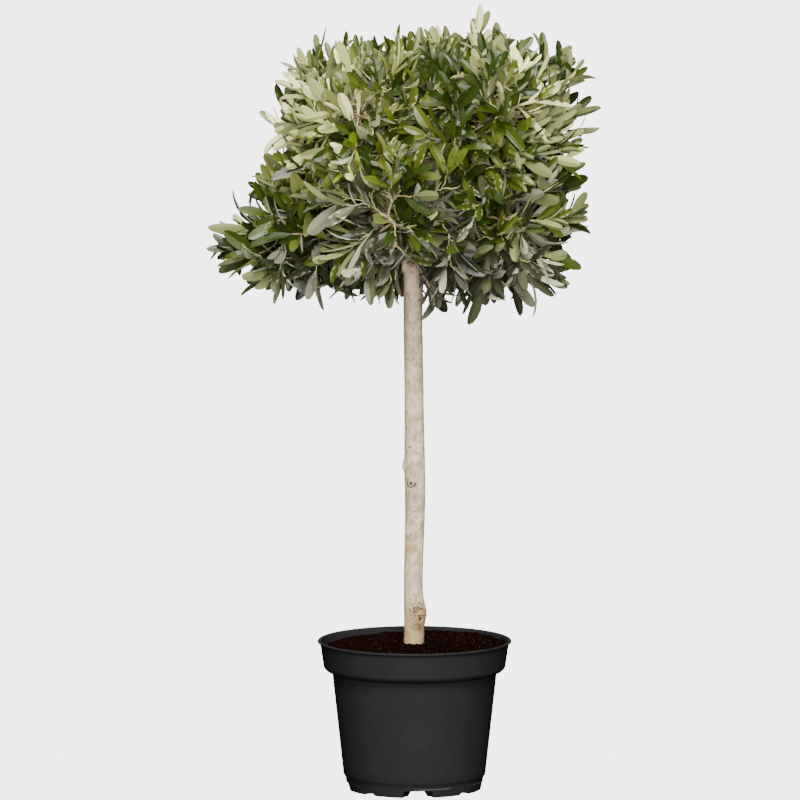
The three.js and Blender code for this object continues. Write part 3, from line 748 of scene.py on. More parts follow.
lower_part = np.arange(TRUNK_BURIED, HEAD_FROM, TRUNK_STEP)
upper_part = np.arange(HEAD_FROM, trunk_top[2], HEAD_STEP)
heights = np.concatenate([lower_part, upper_part, [trunk_top[2]]])
turns = np.arange(TRUNK_SIDES) * 360 / TRUNK_SIDES - 180
trunk_corners = np.zeros((len(heights), TRUNK_SIDES, 3))
trunk_dark = np.zeros((len(heights), TRUNK_SIDES))
trunk_tan = np.zeros((len(heights), TRUNK_SIDES))
for level, height in enumerate(heights):
    middle = trunk_middle(height)
    girth = trunk_girth(height)
    for scar_height, direction, rise, tall, wide in SCARS:
        girth = girth + rise * hump(height - scar_height, tall) * hump(apart(turns, direction), wide)
    for side, turn in enumerate(turns):
        radius = float(girth[side])
        out = level_way(turn)
        spot = middle + out * radius
        across = radius * math.radians(apart(turn, FRONT))
        rise, trunk_dark[level, side], trunk_tan[level, side] = bark_marks_and_shade(spot, across, height)
        trunk_corners[level, side] = middle + out * (radius + bark_relief(spot) + rise)


def tube_faces(rings, sides, start=0):
    """Faces of rings of corners that follow a limb upwards, between a corner at each end."""
    faces = []
    for side in range(sides):
        after = (side + 1) % sides
        faces.append((start, start + 1 + after, start + 1 + side))
        for ring in range(rings - 1):
            near = start + 1 + ring * sides
            far = near + sides
            faces.append((near + side, near + after, far + after, far + side))
        top = start + 1 + (rings - 1) * sides
        faces.append((top + side, top + after, start + 1 + rings * sides))
    return faces


def with_ends(rings):
    """A limb's rings as a list of corners, with a middle corner at each end."""
    foot, tip = rings[0].mean(axis=0), rings[-1].mean(axis=0)
    return np.vstack([foot, rings.reshape(-1, 3), tip])


def mark_corners(mesh, name, values, kind="FLOAT"):
    """Numbers or vectors for a material or a tree to read at a mesh's corners."""
    values = np.array(values, np.int32 if kind == "INT" else np.float32).ravel()
    key = "vector" if kind == "FLOAT_VECTOR" else "value"
    mesh.attributes.new(name, kind, "POINT").data.foreach_set(key, values)


young_bark, tree, shader, place = new_finish("smooth young bark", roughness=0.72, specular=0.3)
height = put(tree, "ShaderNodeSeparateXYZ", {0: place}).outputs["Z"]
mottle = grain(tree, place, 0.012, 5, unevenness=0.4)
flecks = grain(tree, place, 0.0026, 4, stretch=(1.0, 1.0, 0.45))
broad = grain(tree, place, 0.026, 3, stretch=(1.0, 1.0, 0.35))
below, above = (blend(tree, spread(tree, mottle, 0.35, 0.65), *two) for two in (BARK_BELOW, BARK_ABOVE_WITH_PAINTED_LIGHT))
# Towards the head the bark turns to the colour that is lifted as painted light against the crown's
# shadow.
colour = blend(tree, spread(tree, height, 0.40, 0.62), below, above)
colour = blend(tree, spread(tree, broad, 0.50, 0.66, 0.0, 0.50), colour, BARK_PATCH)
colour = blend(tree, spread(tree, flecks, 0.54, 0.66, 0.0, 0.60), colour, BARK_FLECK)
colour = blend(tree, spread(tree, flecks, 0.42, 0.30, 0.0, 0.45), colour, BARK_PALE)
tan_mark, dark_mark = (
    put(tree, "ShaderNodeAttribute", attribute_name=name).outputs["Fac"] for name in ("tan", "dark")
)
tan_share = sums(tree, "MULTIPLY", tan_mark, spread(tree, mottle, 0.3, 0.6, 0.35, 1.0))
colour = blend(tree, tan_share, colour, BARK_TAN)
# The dark mark darkens the bark by its own marks and by painted shade and shadow.
colour = blend(tree, dark_mark, colour, BARK_DARK)
tree.links.new(colour, shader.inputs["Base Color"])
add_bump(tree, shader, sums(tree, "ADD", flecks, grain(tree, place, 0.0009, 3)), 0.0003, 0.7)

trunk_faces = tube_faces(len(heights), TRUNK_SIDES)
trunk = new_piece("trunk_bark", with_ends(trunk_corners), trunk_faces, young_bark)
mark_corners(trunk.data, "dark", [0, *trunk_dark.ravel(), 0])
mark_corners(trunk.data, "tan", [1, *trunk_tan.ravel(), 0])
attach(trunk, "root")
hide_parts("trunk")

# The boughs: nine limbs that leave the trunk's head one above the other, outwards and up. Each
# tapers through the mouth of its mass to its heart, where its twigs part.
BOUGH_TAPER = 0.58
BOUGH_SIDES = 24
BOUGH_STEPS = 44
STEM_TIP = 0.38  # of the bough's thickness, at the heart
STEM_PAST = 0.030  # how far the stem runs on past the heart
STEM_STEPS = 12
STEM_SUNK = 0.002  # of the top stem's foot, in the trunk's tip
COLLAR_SWELL = 0.45  # at the fork, fading over COLLAR_FADE
COLLAR_AT = 0.8  # of the trunk's radius from its middle
COLLAR_FADE = 0.011
CLEAR_FROM = 0.560  # height from which leaves are kept clear of the trunk
CLEAR_STEP = 0.005
ASKEW = (0.31, 0.87, 0.12)  # a way that no limb starts in


def quadratic(start, knee, end, shares):
    shares = np.array(shares)[:, None]
    return start * (1 - shares) ** 2 + knee * 2 * shares * (1 - shares) + end * shares**2


def lengths_along(spots):
    steps = np.linalg.norm(np.diff(spots, axis=0), axis=1)
    return np.concatenate([[0], np.cumsum(steps)])


def rings_along(spots, radii, sides):
    """Rings of corners round a path, without twist and with the bark's relief."""
    tangents = np.gradient(spots, axis=0)
    side = unit(np.cross(tangents[0], ASKEW))
    turns = np.arange(sides) * 2 * math.pi / sides
    rings = []
    for spot, tangent, radius in zip(spots, tangents, radii):
        ahead = unit(tangent)
        side = unit(side - ahead * np.dot(side, ahead))
        other = np.cross(ahead, side)
        out = np.outer(np.cos(turns), side) + np.outer(np.sin(turns), other)
        ring = spot + out * radius
        lift = [bark_relief(corner) for corner in ring]
        rings.append(ring + out * np.array(lift)[:, None])
    return np.array(rings)


LOWER_COUNT = sum(tier is LOWER for name, turn, tier in PLACES)
bough_lines = []
for tier in (LOWER, UPPER):
    for i, mass in enumerate(k for k, place in enumerate(PLACES) if place[2] is tier):
        start = trunk_middle(tier[2] + tier[3] * ((i * 2) % LOWER_COUNT))
        knee = mouths[mass] + entries[mass] * np.linalg.norm(mouths[mass] - start) / 2
        bough_lines.append((mass, quadratic(start, knee, mouths[mass], np.linspace(0, 1, BOUGH_STEPS))))

bough_corners, bough_faces = [], []
clear_heights = np.arange(CLEAR_FROM, trunk_top[2], CLEAR_STEP)
bough_balls = [(trunk_middle(height), float(trunk_girth(height))) for height in clear_heights]
stem_lines = {}
for mass, line in bough_lines:
    thick = PLACES[mass][2][5]
    beyond = hearts[mass] - entries[mass] * STEM_PAST
    stem = quadratic(mouths[mass], hearts[mass], beyond, np.linspace(0, 1, STEM_STEPS))[1:]
    path = np.vstack([line, stem])
    run = lengths_along(path)
    mouth_run = run[BOUGH_STEPS - 1]
    radii = np.interp(run, [0, mouth_run, run[-1]], [thick, thick * BOUGH_TAPER, thick * STEM_TIP])
    radii = radii * (1 + COLLAR_SWELL * hump(run - TRUNK_RADIUS * COLLAR_AT, COLLAR_FADE))
    bough_faces += tube_faces(len(path), BOUGH_SIDES, len(bough_corners))
    bough_corners += list(with_ends(rings_along(path, radii, BOUGH_SIDES)))
    bough_balls += [(spot, radius) for spot, radius in zip(line, radii)]
    stem_lines[mass] = (path[BOUGH_STEPS - 1 :], radii[BOUGH_STEPS - 1 :])
stem_foot = trunk_top - (0, 0, STEM_SUNK)
top_stem = np.linspace(stem_foot, hearts[TOP_MASS] + (0, 0, STEM_PAST), STEM_STEPS)
top_radii = np.linspace(TRUNK_TIP, TRUNK_TIP * STEM_TIP, STEM_STEPS)
bough_faces += tube_faces(STEM_STEPS, BOUGH_SIDES, len(bough_corners))
bough_corners += list(with_ends(rings_along(top_stem, top_radii, BOUGH_SIDES)))
stem_lines[TOP_MASS] = (top_stem, top_radii)

boughs = new_piece("boughs_bark", bough_corners, bough_faces, young_bark)
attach(boughs, "root")
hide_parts(*[f"bough_{PLACES[mass][0]}" for mass, line in bough_lines])

# The twigs: slender shoots, grey-brown where they are old and pale beige-green towards their
# ends. Their ends are spread evenly over the crown. Each main twig grows from its mass's stem,
# and each finer one from the nearest twig of its mass, and all sag at first and bend upwards.
GOLDEN_ANGLE = math.pi * (3 - math.sqrt(5))
MAIN_TWIGS = 102
MAIN_INSIDE = (0.034, 0.062)  # of a twig's end, from the crown's edge
MAIN_GIRTH = (0.0028, 0.0011)
ON_STEM = (0.55, 0.45, 0.05)  # where a main twig leaves: middle share, change by its way, least
ALONG_STEM = 0.6  # how much it follows the stem at first
FINE_TWIGS = 1750
FINE_INSIDE = (0.027, 0.150)  # outermost, innermost
CROWDING = 1.5  # over 1, more of the ends lie near the crown's edge
HOLLOWS = (0.048, 0.055, 0.28)  # their size, their depth, and how full the crown's edge is
NEAREST_END = 0.03  # to the crown's middle
FINE_GIRTH = (0.0015, 0.0007)
FORK_GIRTH = {True: 0.9, False: 0.85}  # a main or fine twig's foot, as a share of what carries it
FORK_ANGLE = (8, 42, 95)  # least, best, most
FINE_LENGTH = (0.028, 0.125)
SAG = 0.10
CROOK = {True: 0.0012, False: 0.0008}  # how far a main or fine twig bends at its nodes
ONWARD, OUTWARD = 0.5, 0.72  # how a shoot's end points, beside its rise by its level
OUTWARD_RISE = 0.2
RISE = ((-1.0, -0.7, -0.25, 1.0), (-0.25, 0.05, 0.75, 0.85))
TWIG_STEPS = 9
OPENING = (0.019, 0.654, 0.105)  # half its width, its height, its slant
OLD_TWIG = (0.26, 0.20, 0.13)
YOUNG_TWIG = (0.46, 0.43, 0.19)
# The shoots that stand out of the outline: the end, the way it points and its tone.
LONG_SHOOTS = [
    ((0.077, -0.052, 0.939), (0.35, -0.05, 1.0), "silver"),
    ((-0.112, -0.040, 0.886), (-0.25, 0.0, 1.0), "deep"),
    ((-0.022, -0.050, 0.910), (-0.10, 0.0, 1.0), "mid"),
    ((0.120, -0.020, 0.904), (0.35, -0.10, 1.0), "mid"),
    ((0.150, 0.015, 0.892), (0.55, 0.05, 1.0), "deep"),
    ((0.146, -0.045, 0.878), (0.75, -0.15, 0.9), "olive"),
    ((0.166, 0.020, 0.838), (1.0, 0.05, 0.5), "deep"),
    ((-0.207, -0.024, 0.700), (-1.0, -0.10, 0.05), "deep"),
    ((-0.208, 0.030, 0.682), (-1.0, 0.15, 0.10), "mid"),
    ((-0.206, -0.055, 0.668), (-1.0, -0.20, 0.0), "deep"),
    ((-0.198, 0.000, 0.656), (-1.0, 0.0, -0.05), "olive"),
    ((-0.176, -0.088, 0.724), (-0.9, -0.2, 0.40), "mid"),
    ((-0.150, -0.112, 0.702), (-0.8, -0.3, 0.30), "deep"),
    ((-0.172, -0.045, 0.646), (-0.9, -0.2, -0.20), "mid"),
    ((-0.132, -0.060, 0.646), (-0.6, -0.3, -0.40), "shade"),
    ((0.158, -0.048, 0.668), (0.9, -0.2, -0.05), "mid"),
    ((0.140, -0.065, 0.645), (0.7, -0.2, -0.5), "dusk"),
    ((0.118, -0.050, 0.640), (0.5, -0.2, -0.7), "shade"),
    ((0.082, -0.080, 0.638), (0.4, -0.2, -0.8), "dusk"),
    ((0.027, -0.055, 0.632), (0.1, -0.1, -1.0), "shade"),
]
draw = np.random.default_rng(7)


def golden_direction(i, count):
    rise = 1 - (2 * i - 1) / count
    flat = math.sqrt(1 - rise * rise)
    return np.array((flat * math.cos(i * GOLDEN_ANGLE), flat * math.sin(i * GOLDEN_ANGLE), rise))


def mass_of(spot):
    return int(np.argmin([np.linalg.norm(heart - spot) for heart in hearts]))


def way_out(start, end):
    """How a twig's end points: a little onwards, out of the crown, and up unless it is low."""
    outwards = unit((end - CROWN_CENTRE) * (1, 1, OUTWARD_RISE))
    rise = np.interp(level_of(end), *RISE)
    return unit(ONWARD * unit(end - start) + OUTWARD * outwards + (0, 0, rise))


def shoot(start, leaving, end, arriving, crook):
    """A twig's path from one way to another, which sags, and bends a little at its nodes."""
    span = np.linalg.norm(end - start)
    near = start + (leaving - (0, 0, SAG * 2)) * span / 3
    far = end - arriving * span / 3
    t = np.linspace(0, 1, TWIG_STEPS)[:, None]
    line = start * (1 - t) ** 3 + near * 3 * t * (1 - t) ** 2 + far * 3 * t * t * (1 - t) + end * t**3
    kinks = draw.normal(0, crook, line.shape)
    kinks[0] = kinks[-1] = 0
    return line + kinks


def in_opening(spots):
    """Whether something shades the opening in the crown's underside before the trunk."""
    x, y, z = spots.T
    low = z < OPENING[1] - OPENING[2] * y
    return (low & (y < 0) & (np.abs(x - trunk_middle(z)[:, 0]) < OPENING[0])).any()


twigs = []  # of each: its path, its girths, whether it is a main one, and a long shoot's tone
forks = {mass: [] for mass in range(len(PLACES))}


def add_twig(mass, line, carrier, main, tone=None):
    """Adds a twig to the lists, as thick at its foot as what carries it allows."""
    foot, tip = MAIN_GIRTH if main else FINE_GIRTH
    girths = np.linspace(min(foot, carrier * FORK_GIRTH[main]), tip, TWIG_STEPS)
    twigs.append((line, girths, main, tone))
    tangents = np.gradient(line, axis=0)
    for spot, tangent, girth in list(zip(line, tangents, girths))[2:-1]:
        forks[mass].append((*spot, *unit(tangent), girth))


planned = []
for i in range(1, MAIN_TWIGS + 1):
    way = golden_direction(i, MAIN_TWIGS)
    reach = edge_from(CROWN_CENTRE, way) - draw.uniform(*MAIN_INSIDE)
    planned.append((CROWN_CENTRE + way * reach, None, None))
planned += [(np.array(end), unit(np.array(way)), tone) for end, way, tone in LONG_SHOOTS]
for end, arriving, tone in planned:
    mass = mass_of(end)
    stem, radii = stem_lines[mass]
    away = unit(end - hearts[mass])
    share = np.clip(ON_STEM[0] + ON_STEM[1] * np.dot(away, -entries[mass]), ON_STEM[2], 1.0)
    at = int(round(share * (len(stem) - 1)))
    if arriving is None:
        arriving = way_out(stem[at], end)
    line = shoot(stem[at], unit(away - ALONG_STEM * entries[mass]), end, arriving, CROOK[True])
    add_twig(mass, line, radii[at], True, tone)

fine_ends = []
for i in range(1, FINE_TWIGS + 1):
    way = golden_direction(i, FINE_TWIGS)
    depth = FINE_INSIDE[0] + (FINE_INSIDE[1] - FINE_INSIDE[0]) * draw.random() ** CROWDING
    depth += HOLLOWS[1] * max(HOLLOWS[2] + rough(way * CROWN_HALF[0], HOLLOWS[0], 21), 0)
    end = CROWN_CENTRE + way * max(edge_from(CROWN_CENTRE, way) - depth, NEAREST_END)
    fine_ends.append((np.linalg.norm(end - hearts[mass_of(end)]), end))
fine_ends.sort(key=lambda pair: pair[0])
for distance, end in fine_ends:
    mass = mass_of(end)
    known = np.array(forks[mass])
    ways = end - known[:, :3]
    lengths = np.linalg.norm(ways, axis=1)
    angles = np.degrees(np.arccos(np.clip((ways * known[:, 3:6]).sum(axis=1) / lengths, -1, 1)))
    costs = lengths * (1 + np.abs(angles - FORK_ANGLE[1]) / FORK_ANGLE[1])
    fits = (lengths > FINE_LENGTH[0]) & (lengths < FINE_LENGTH[1])
    fits &= (angles > FORK_ANGLE[0]) & (angles < FORK_ANGLE[2])
    if not fits.any():
        continue
    at = int(np.argmin(np.where(fits, costs, math.inf)))
    start, tangent, girth = known[at, :3], known[at, 3:6], known[at, 6]
    leaving = unit(tangent + unit(end - start))
    line = shoot(start, leaving, end, way_out(start, end), CROOK[False])
    if not in_opening(line):
        add_twig(mass, line, girth, False)


def twig_finish(name, colour, roughness):
    material, tree, shader, place = new_finish(name, roughness, 0.35)
    shader.inputs["Base Color"].default_value = (*colour, 1.0)
    add_bump(tree, shader, grain(tree, place, 0.0016, 3), 0.0003, 0.6)
    return material


old_twig = twig_finish("grey-brown twigs", OLD_TWIG, 0.75)
young_twig = twig_finish("pale green shoots", YOUNG_TWIG, 0.6)

twig_sizes = {"Thickness": 1.0, "Sides": 5.0, "Material": old_twig}
twigging, given, result = growth_tree("twigs", twig_sizes)
paths = put(twigging, "GeometryNodeMeshToCurve", {"Mesh": given["Geometry"]})
girth = put(twigging, "GeometryNodeInputNamedAttribute", {"Name": "girth"}, data_type="FLOAT")
thick = sums(twigging, "MULTIPLY", girth.outputs[0], given["Thickness"])
sockets = {"Resolution": given["Sides"], "Radius": 1.0}
section = put(twigging, "GeometryNodeCurvePrimitiveCircle", sockets)
sockets = {"Curve": paths.outputs[0], "Profile Curve": section.outputs["Curve"]}
sockets |= {"Scale": thick, "Fill Caps": True}
swept = put(twigging, "GeometryNodeCurveToMesh", sockets)
real = put(twigging, "GeometryNodeRealizeInstances", {"Geometry": swept.outputs[0]})
smooth = put(twigging, "GeometryNodeSetShadeSmooth", {0: real.outputs[0]})
sockets = {"Geometry": smooth.outputs[0], "Material": given["Material"]}
painted = put(twigging, "GeometryNodeSetMaterial", sockets)
twigging.links.new(painted.outputs[0], result)

for name, main, material in (("twigs_main", True, old_twig), ("twigs_fine", False, young_twig)):
    chosen = [(line, girths) for line, girths, kind, tone in twigs if kind == main]
    spots = [tuple(spot) for line, girths in chosen for spot in line]
    edges = [(i, i + 1) for i in range(len(spots) - 1) if (i + 1) % TWIG_STEPS]
    mesh = bpy.data.meshes.new(name + "_paths")
    mesh.from_pydata(spots, edges, [])
    mark_corners(mesh, "girth", [girths for line, girths in chosen])
    shoots = grown(name, mesh, twigging, {"Material": material})
    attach(shoots, "root")

# The leaves: narrow, leathery and blunt, glossy olive green above and silvery felt below. They
# stand in crossed pairs along the shoots, smaller towards the tips, and a spray has one tone.
LEAF_LENGTH = ((-0.75, 0.2, 0.85), (0.054, 0.047, 0.041))  # by level in the crown
LEAF_UNEVENNESS = 0.17
LONG_UNEVENNESS = (-0.2, 0.1)  # at the least and the most, on the shoots that stand out
SECOND_LEAF = 0.1  # how much smaller a pair's second leaf may be
LEAST_LEAF = 0.5
LEAF_FORMS = ((8, 6), (-14, -10), (26, 12), (44, -8), (-4, 22), (16, -24))  # droop, twist, degrees
# A leaf's half width along it, both as shares.
LEAF_OUTLINE = [(0.0, 0.06), (0.05, 0.09), (0.19, 0.46), (0.39, 0.86)]
LEAF_OUTLINE += [(0.61, 1.0), (0.81, 0.86), (0.95, 0.50), (1.0, 0.15)]
leaf_sizes = {"Width": 0.28, "Thickness": 0.012, "Fold": 0.36}
PAIR_SPACING = (0.204, 0.072)  # of a leaf's length, at the least, and how much it varies
FIRST_PAIR = 0.003  # from the twig's end
TIP_SIZE = (0.66, 0.2)  # of full size: a twig's last pair, and how much each pair before it adds
BARE = {True: 0.30, False: 0.22}  # share of a main or a fine twig with no leaves
MISSING = 0.05
TIP_LEAN = 21  # of a leaf from its twig's way, in degrees, at the twig's end
FOOT_LEAN = 56
LEAN_FADE = 0.045
LEAN_UNEVENNESS = 9
TURN_UNEVENNESS = 0.22  # round the twig, in radians
ROLL_UNEVENNESS = 0.38  # round the leaf
NEARBY = 0.004  # over which a twig's way is measured
LIFT = (0.16, 0.20)  # how much a leaf rises, and how much more by level
DROOP = (0.35, -0.55)  # and how much it falls again under a level
SUNWARDS = 0.34  # how much the upper sides turn out of the crown
SKYWARDS = (0, 0, 0.12)
EDGE_MEASURE = 1.12  # how far over the crown's edge a leaf's tip may be
PAST_EDGE = 0.006
BARK_GAP = 0.004  # between a leaf and the trunk and boughs
PROBES = (0.3, 0.65, 1.0)  # where on a leaf that is measured
# A tone's upper side, its underside, its share, and how that changes upwards and, at the top, to the
# right. These changes paint light and shade: paler leaves towards the top, and darker ones to the right
# at the top and low in the crown.
TONES = {
    "deep": ((0.022, 0.036, 0.003), (0.128, 0.142, 0.046), 1.5, -0.1, 1.6),
    "mid": ((0.040, 0.059, 0.004), (0.198, 0.214, 0.076), 1.2, 0.1, 0.0),
    "olive": ((0.078, 0.098, 0.009), (0.36, 0.378, 0.130), 0.65, 0.4, -0.75),
    "silver": ((0.130, 0.145, 0.036), (0.82, 0.818, 0.375), 0.38, 0.4, -0.75),
    "dusk": ((0.085, 0.092, 0.040), (0.36, 0.370, 0.235), 0.2, -1.1, 0.0),
    "shade": ((0.030, 0.033, 0.013), (0.13, 0.130, 0.080), 0.3, -1.2, 0.0),
    "young": ((0.19, 0.27, 0.010), (0.50, 0.56, 0.160), 0.0, 0.0, 0.0),
}
# The dusk and shade tones are darker, greyer copies of the leaves: painted shade.
SHADED_TONES = ("dusk", "shade")
UNDER = (6.0, -0.75, 0.45, 0.50)  # more leaves in painted shade low over the trunk: share, level, height, width
YOUNG_SHARE = 0.013  # of the shoots, whose first pairs are young leaves
YOUNG_PAIRS = 2


def leaf_finish(name, colour, roughness, specular, relief):
    material, tree, shader, place = new_finish(name, roughness, specular)
    shader.inputs["Base Color"].default_value = (*colour, 1.0)
    add_bump(tree, shader, grain(tree, place, 0.0022, 3), relief, 0.6)
    return material


finishes = {}
for tone, (above, below, *shares) in TONES.items():
    upper_side = leaf_finish(f"{tone} leaves above", above, 0.38, 0.38, 0.0004)
    underside = leaf_finish(f"{tone} leaves below", below, 0.78, 0.25, 0.0002)
    underside.node_tree.nodes["Principled BSDF"].inputs["Sheen Weight"].default_value = 0.12
    finishes[tone] = {"Upper side": upper_side, "Underside": underside}

# A leaf starts as a ball of four sides, of which the upper half is marked. Its edges from end to
# end stay sharp, and each ring is then laid out as wide as the leaf is there.
leafing, given, result = growth_tree("leaves", leaf_sizes | finishes["mid"])
ball = put(leafing, "GeometryNodeMeshUVSphere", {"Segments": 4, "Rings": 7, "Radius": 1.0})
place = put(leafing, "GeometryNodeInputPosition").outputs[0]
x, y, z = put(leafing, "ShaderNodeSeparateXYZ", {0: place}).outputs
is_upper = sums(leafing, "GREATER_THAN", y, 0.0)
sockets = {"Geometry": ball.outputs["Mesh"], "Name": "upper_side", "Value": is_upper}
settings = {"data_type": "BOOLEAN", "domain": "FACE"}
marked = put(leafing, "GeometryNodeStoreNamedAttribute", sockets, **settings)
off_axis = sums(leafing, "ABSOLUTE", sums(leafing, "MULTIPLY", x, y))
lengthways = sums(leafing, "LESS_THAN", off_axis, 0.00001)
sockets = {0: marked.outputs[0], "Selection": lengthways, "Shade Smooth": False}
blank = put(leafing, "GeometryNodeSetShadeSmooth", sockets, domain="EDGE").outputs[0]
share = sums(leafing, "DIVIDE", sums(leafing, "ADD", z, 1.0), 2.0)
squared = sums(leafing, "SUBTRACT", 1.0, sums(leafing, "MULTIPLY", z, z))
waist = sums(leafing, "SQRT", sums(leafing, "MAXIMUM", squared, 0.0))
sideways = sums(leafing, "DIVIDE", x, waist)
upwards = sums(leafing, "DIVIDE", y, waist)
profile = put(leafing, "ShaderNodeFloatCurve", {"Value": share})
points = profile.mapping.curves[0].points
points[0].location, points[-1].location = LEAF_OUTLINE[0], LEAF_OUTLINE[-1]
for spot in LEAF_OUTLINE[1:-1]:
    points.new(*spot)
profile.mapping.update()
half = sums(leafing, "MULTIPLY", profile.outputs[0], sums(leafing, "MULTIPLY", given["Width"], 0.5))
blade_x = sums(leafing, "MULTIPLY", sideways, half)
rib = sums(leafing, "MULTIPLY", upwards, sums(leafing, "MULTIPLY", given["Thickness"], 0.5))
valley = sums(leafing, "MULTIPLY", sums(leafing, "ABSOLUTE", blade_x), given["Fold"])
forms = put(leafing, "GeometryNodeGeometryToInstance")
for droop, twist in LEAF_FORMS:
    bow = math.radians(droop)
    fall = sums(leafing, "MULTIPLY", sums(leafing, "MULTIPLY", share, share), bow / 2)
    blade_y = sums(leafing, "SUBTRACT", sums(leafing, "ADD", rib, valley), fall)
    shortened = sums(leafing, "MULTIPLY", sums(leafing, "POWER", share, 3.0), bow * bow / 6)
    blade_z = sums(leafing, "SUBTRACT", share, shortened)
    blade = put(leafing, "ShaderNodeCombineXYZ", {"X": blade_x, "Y": blade_y, "Z": blade_z})
    angle = sums(leafing, "MULTIPLY", share, math.radians(twist))
    sockets = {"Vector": blade.outputs[0], "Angle": angle}
    turned_blade = put(leafing, "ShaderNodeVectorRotate", sockets, rotation_type="Z_AXIS")
    sockets = {"Geometry": blank, "Position": turned_blade.outputs[0]}
    formed = put(leafing, "GeometryNodeSetPosition", sockets)
    leafing.links.new(formed.outputs[0], forms.inputs[0])


def read(name, kind):
    return put(leafing, "GeometryNodeInputNamedAttribute", {"Name": name}, data_type=kind).outputs[0]


aim = put(
    leafing,
    "FunctionNodeAxesToRotation",
    {"Primary Axis": read("along", "FLOAT_VECTOR"), "Secondary Axis": read("facing", "FLOAT_VECTOR")},
    primary_axis="Z",
    secondary_axis="Y",
)
leaves_set = put(
    leafing,
    "GeometryNodeInstanceOnPoints",
    {
        "Points": given["Geometry"],
        "Instance": forms.outputs[0],
        "Pick Instance": True,
        "Instance Index": read("form", "INT"),
        "Rotation": aim.outputs[0],
        "Scale": read("length", "FLOAT"),
    },
)
real = put(leafing, "GeometryNodeRealizeInstances", {"Geometry": leaves_set.outputs[0]})
sockets = {"Geometry": real.outputs[0], "Material": given["Underside"]}
painted = put(leafing, "GeometryNodeSetMaterial", sockets)
sockets = {"Geometry": painted.outputs[0], "Selection": read("upper_side", "BOOLEAN")}
sockets["Material"] = given["Upper side"]
painted = put(leafing, "GeometryNodeSetMaterial", sockets)
leafing.links.new(painted.outputs[0], result)


def tone_of(spot):
    """A tone for a spray, drawn by where it is in the crown, so that the tones paint light and shade
    over it.
    """
    level = level_of(spot)
    right = (spot[0] - CROWN_CENTRE[0]) / CROWN_HALF[0]
    # Painted shade: the shaded tones gather low over the trunk.
    under = UNDER[0] * hump(level - UNDER[1], UNDER[2]) * hump(right, UNDER[3])
    right *= 0.5 + 0.5 * level
    weights = []
    for tone, (above, below, share, up, side) in TONES.items():
        weight = max(share + up * level + side * right, 0.0)
        weights.append(weight * (1 + under) if tone in SHADED_TONES else weight)
    return draw.choice(list(TONES), p=np.array(weights) / sum(weights))


ball_spots = np.array([spot for spot, radius in bough_balls])
ball_radii = np.array([radius for spot, radius in bough_balls])


def leaf_fits(root, along, length):
    """Whether a leaf stays in the crown and clear of trunk and boughs."""
    if crown_measure(root + along * length) >= EDGE_MEASURE:
        return False
    probes = root + along * length * np.array(PROBES)[:, None]
    if in_opening(probes):
        return False
    gaps = np.linalg.norm(probes[:, None] - ball_spots[None], axis=2) - ball_radii
    return gaps.min() > BARK_GAP


def spot_at(run, line, at):
    """The point of a twig at a length along it."""
    return np.array([np.interp(at, run, line[:, k]) for k in range(3)])


leaves = {tone: [] for tone in TONES}
for line, girths, main, long in twigs:
    run = lengths_along(line)
    total = run[-1]
    tone = long or tone_of(line[-1])
    young = not long and draw.random() < YOUNG_SHARE
    about = draw.random() * math.pi
    distance = FIRST_PAIR
    pair = 0
    while distance < total * (1 - BARE[main]):
        root = spot_at(run, line, total - distance)
        ahead = unit(root - spot_at(run, line, max(total - distance - NEARBY, 0)))
        flat = unit(np.cross((0.05, 0.02, 1), ahead))
        fade = math.exp(-distance / LEAN_FADE)
        level = level_of(root)
        lift = LIFT[0] + LIFT[1] * level - DROOP[0] * max(DROOP[1] - level, 0)
        full_size = np.interp(level, *LEAF_LENGTH)
        size = full_size * (1.0 if long else min(TIP_SIZE[0] + TIP_SIZE[1] * pair, 1.0))
        for half_turn in (0, math.pi):
            lean = FOOT_LEAN + (TIP_LEAN - FOOT_LEAN) * fade + draw.normal(0, LEAN_UNEVENNESS)
            lean = math.radians(lean)
            turn = about + pair * math.pi / 2 + half_turn + draw.normal(0, TURN_UNEVENNESS)
            side = flat * math.cos(turn) + np.cross(ahead, flat) * math.sin(turn)
            along = unit(ahead * math.cos(lean) + side * math.sin(lean) + (0, 0, lift))
            facing = ahead + (SUNWARDS * unit(root - CROWN_CENTRE) + SKYWARDS)
            facing = unit(facing - along * np.dot(facing, along))
            roll = draw.normal(0, ROLL_UNEVENNESS)
            facing = facing * math.cos(roll) + np.cross(along, facing) * math.sin(roll)
            uneven = draw.normal(0, LEAF_UNEVENNESS) - SECOND_LEAF * (half_turn > 0) * draw.random()
            length = size * (1 + (np.clip(uneven, *LONG_UNEVENNESS) if long else uneven))
            form = draw.integers(len(LEAF_FORMS))
            missing = draw.random() < MISSING
            if not long:
                length = min(length, edge_from(root, along) + PAST_EDGE)
            if missing or length < full_size * LEAST_LEAF:
                continue
            if long or leaf_fits(root, along, length):
                leaf_tone = "young" if young and pair < YOUNG_PAIRS else tone
                leaves[leaf_tone].append((root, along, facing, length, form))
        pair += 1
        distance += full_size * (PAIR_SPACING[0] + PAIR_SPACING[1] * draw.random())

foliage_nodes = [f"foliage_{name}" for name, turn, tier in PLACES]
kinds = {"along": "FLOAT_VECTOR", "facing": "FLOAT_VECTOR", "length": "FLOAT", "form": "INT"}
for tone, rows in leaves.items():
    roots, *marks = zip(*rows)
    mesh = bpy.data.meshes.new(f"leaves_{tone}_roots")
    mesh.from_pydata([tuple(root) for root in roots], [], [])
    for (name, kind), values in zip(kinds.items(), marks):
        mark_corners(mesh, name, values, kind)
    sprays = grown(f"leaves_{tone}", mesh, leafing, leaf_sizes | finishes[tone])
    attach(sprays, "root")
    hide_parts(*foliage_nodes)

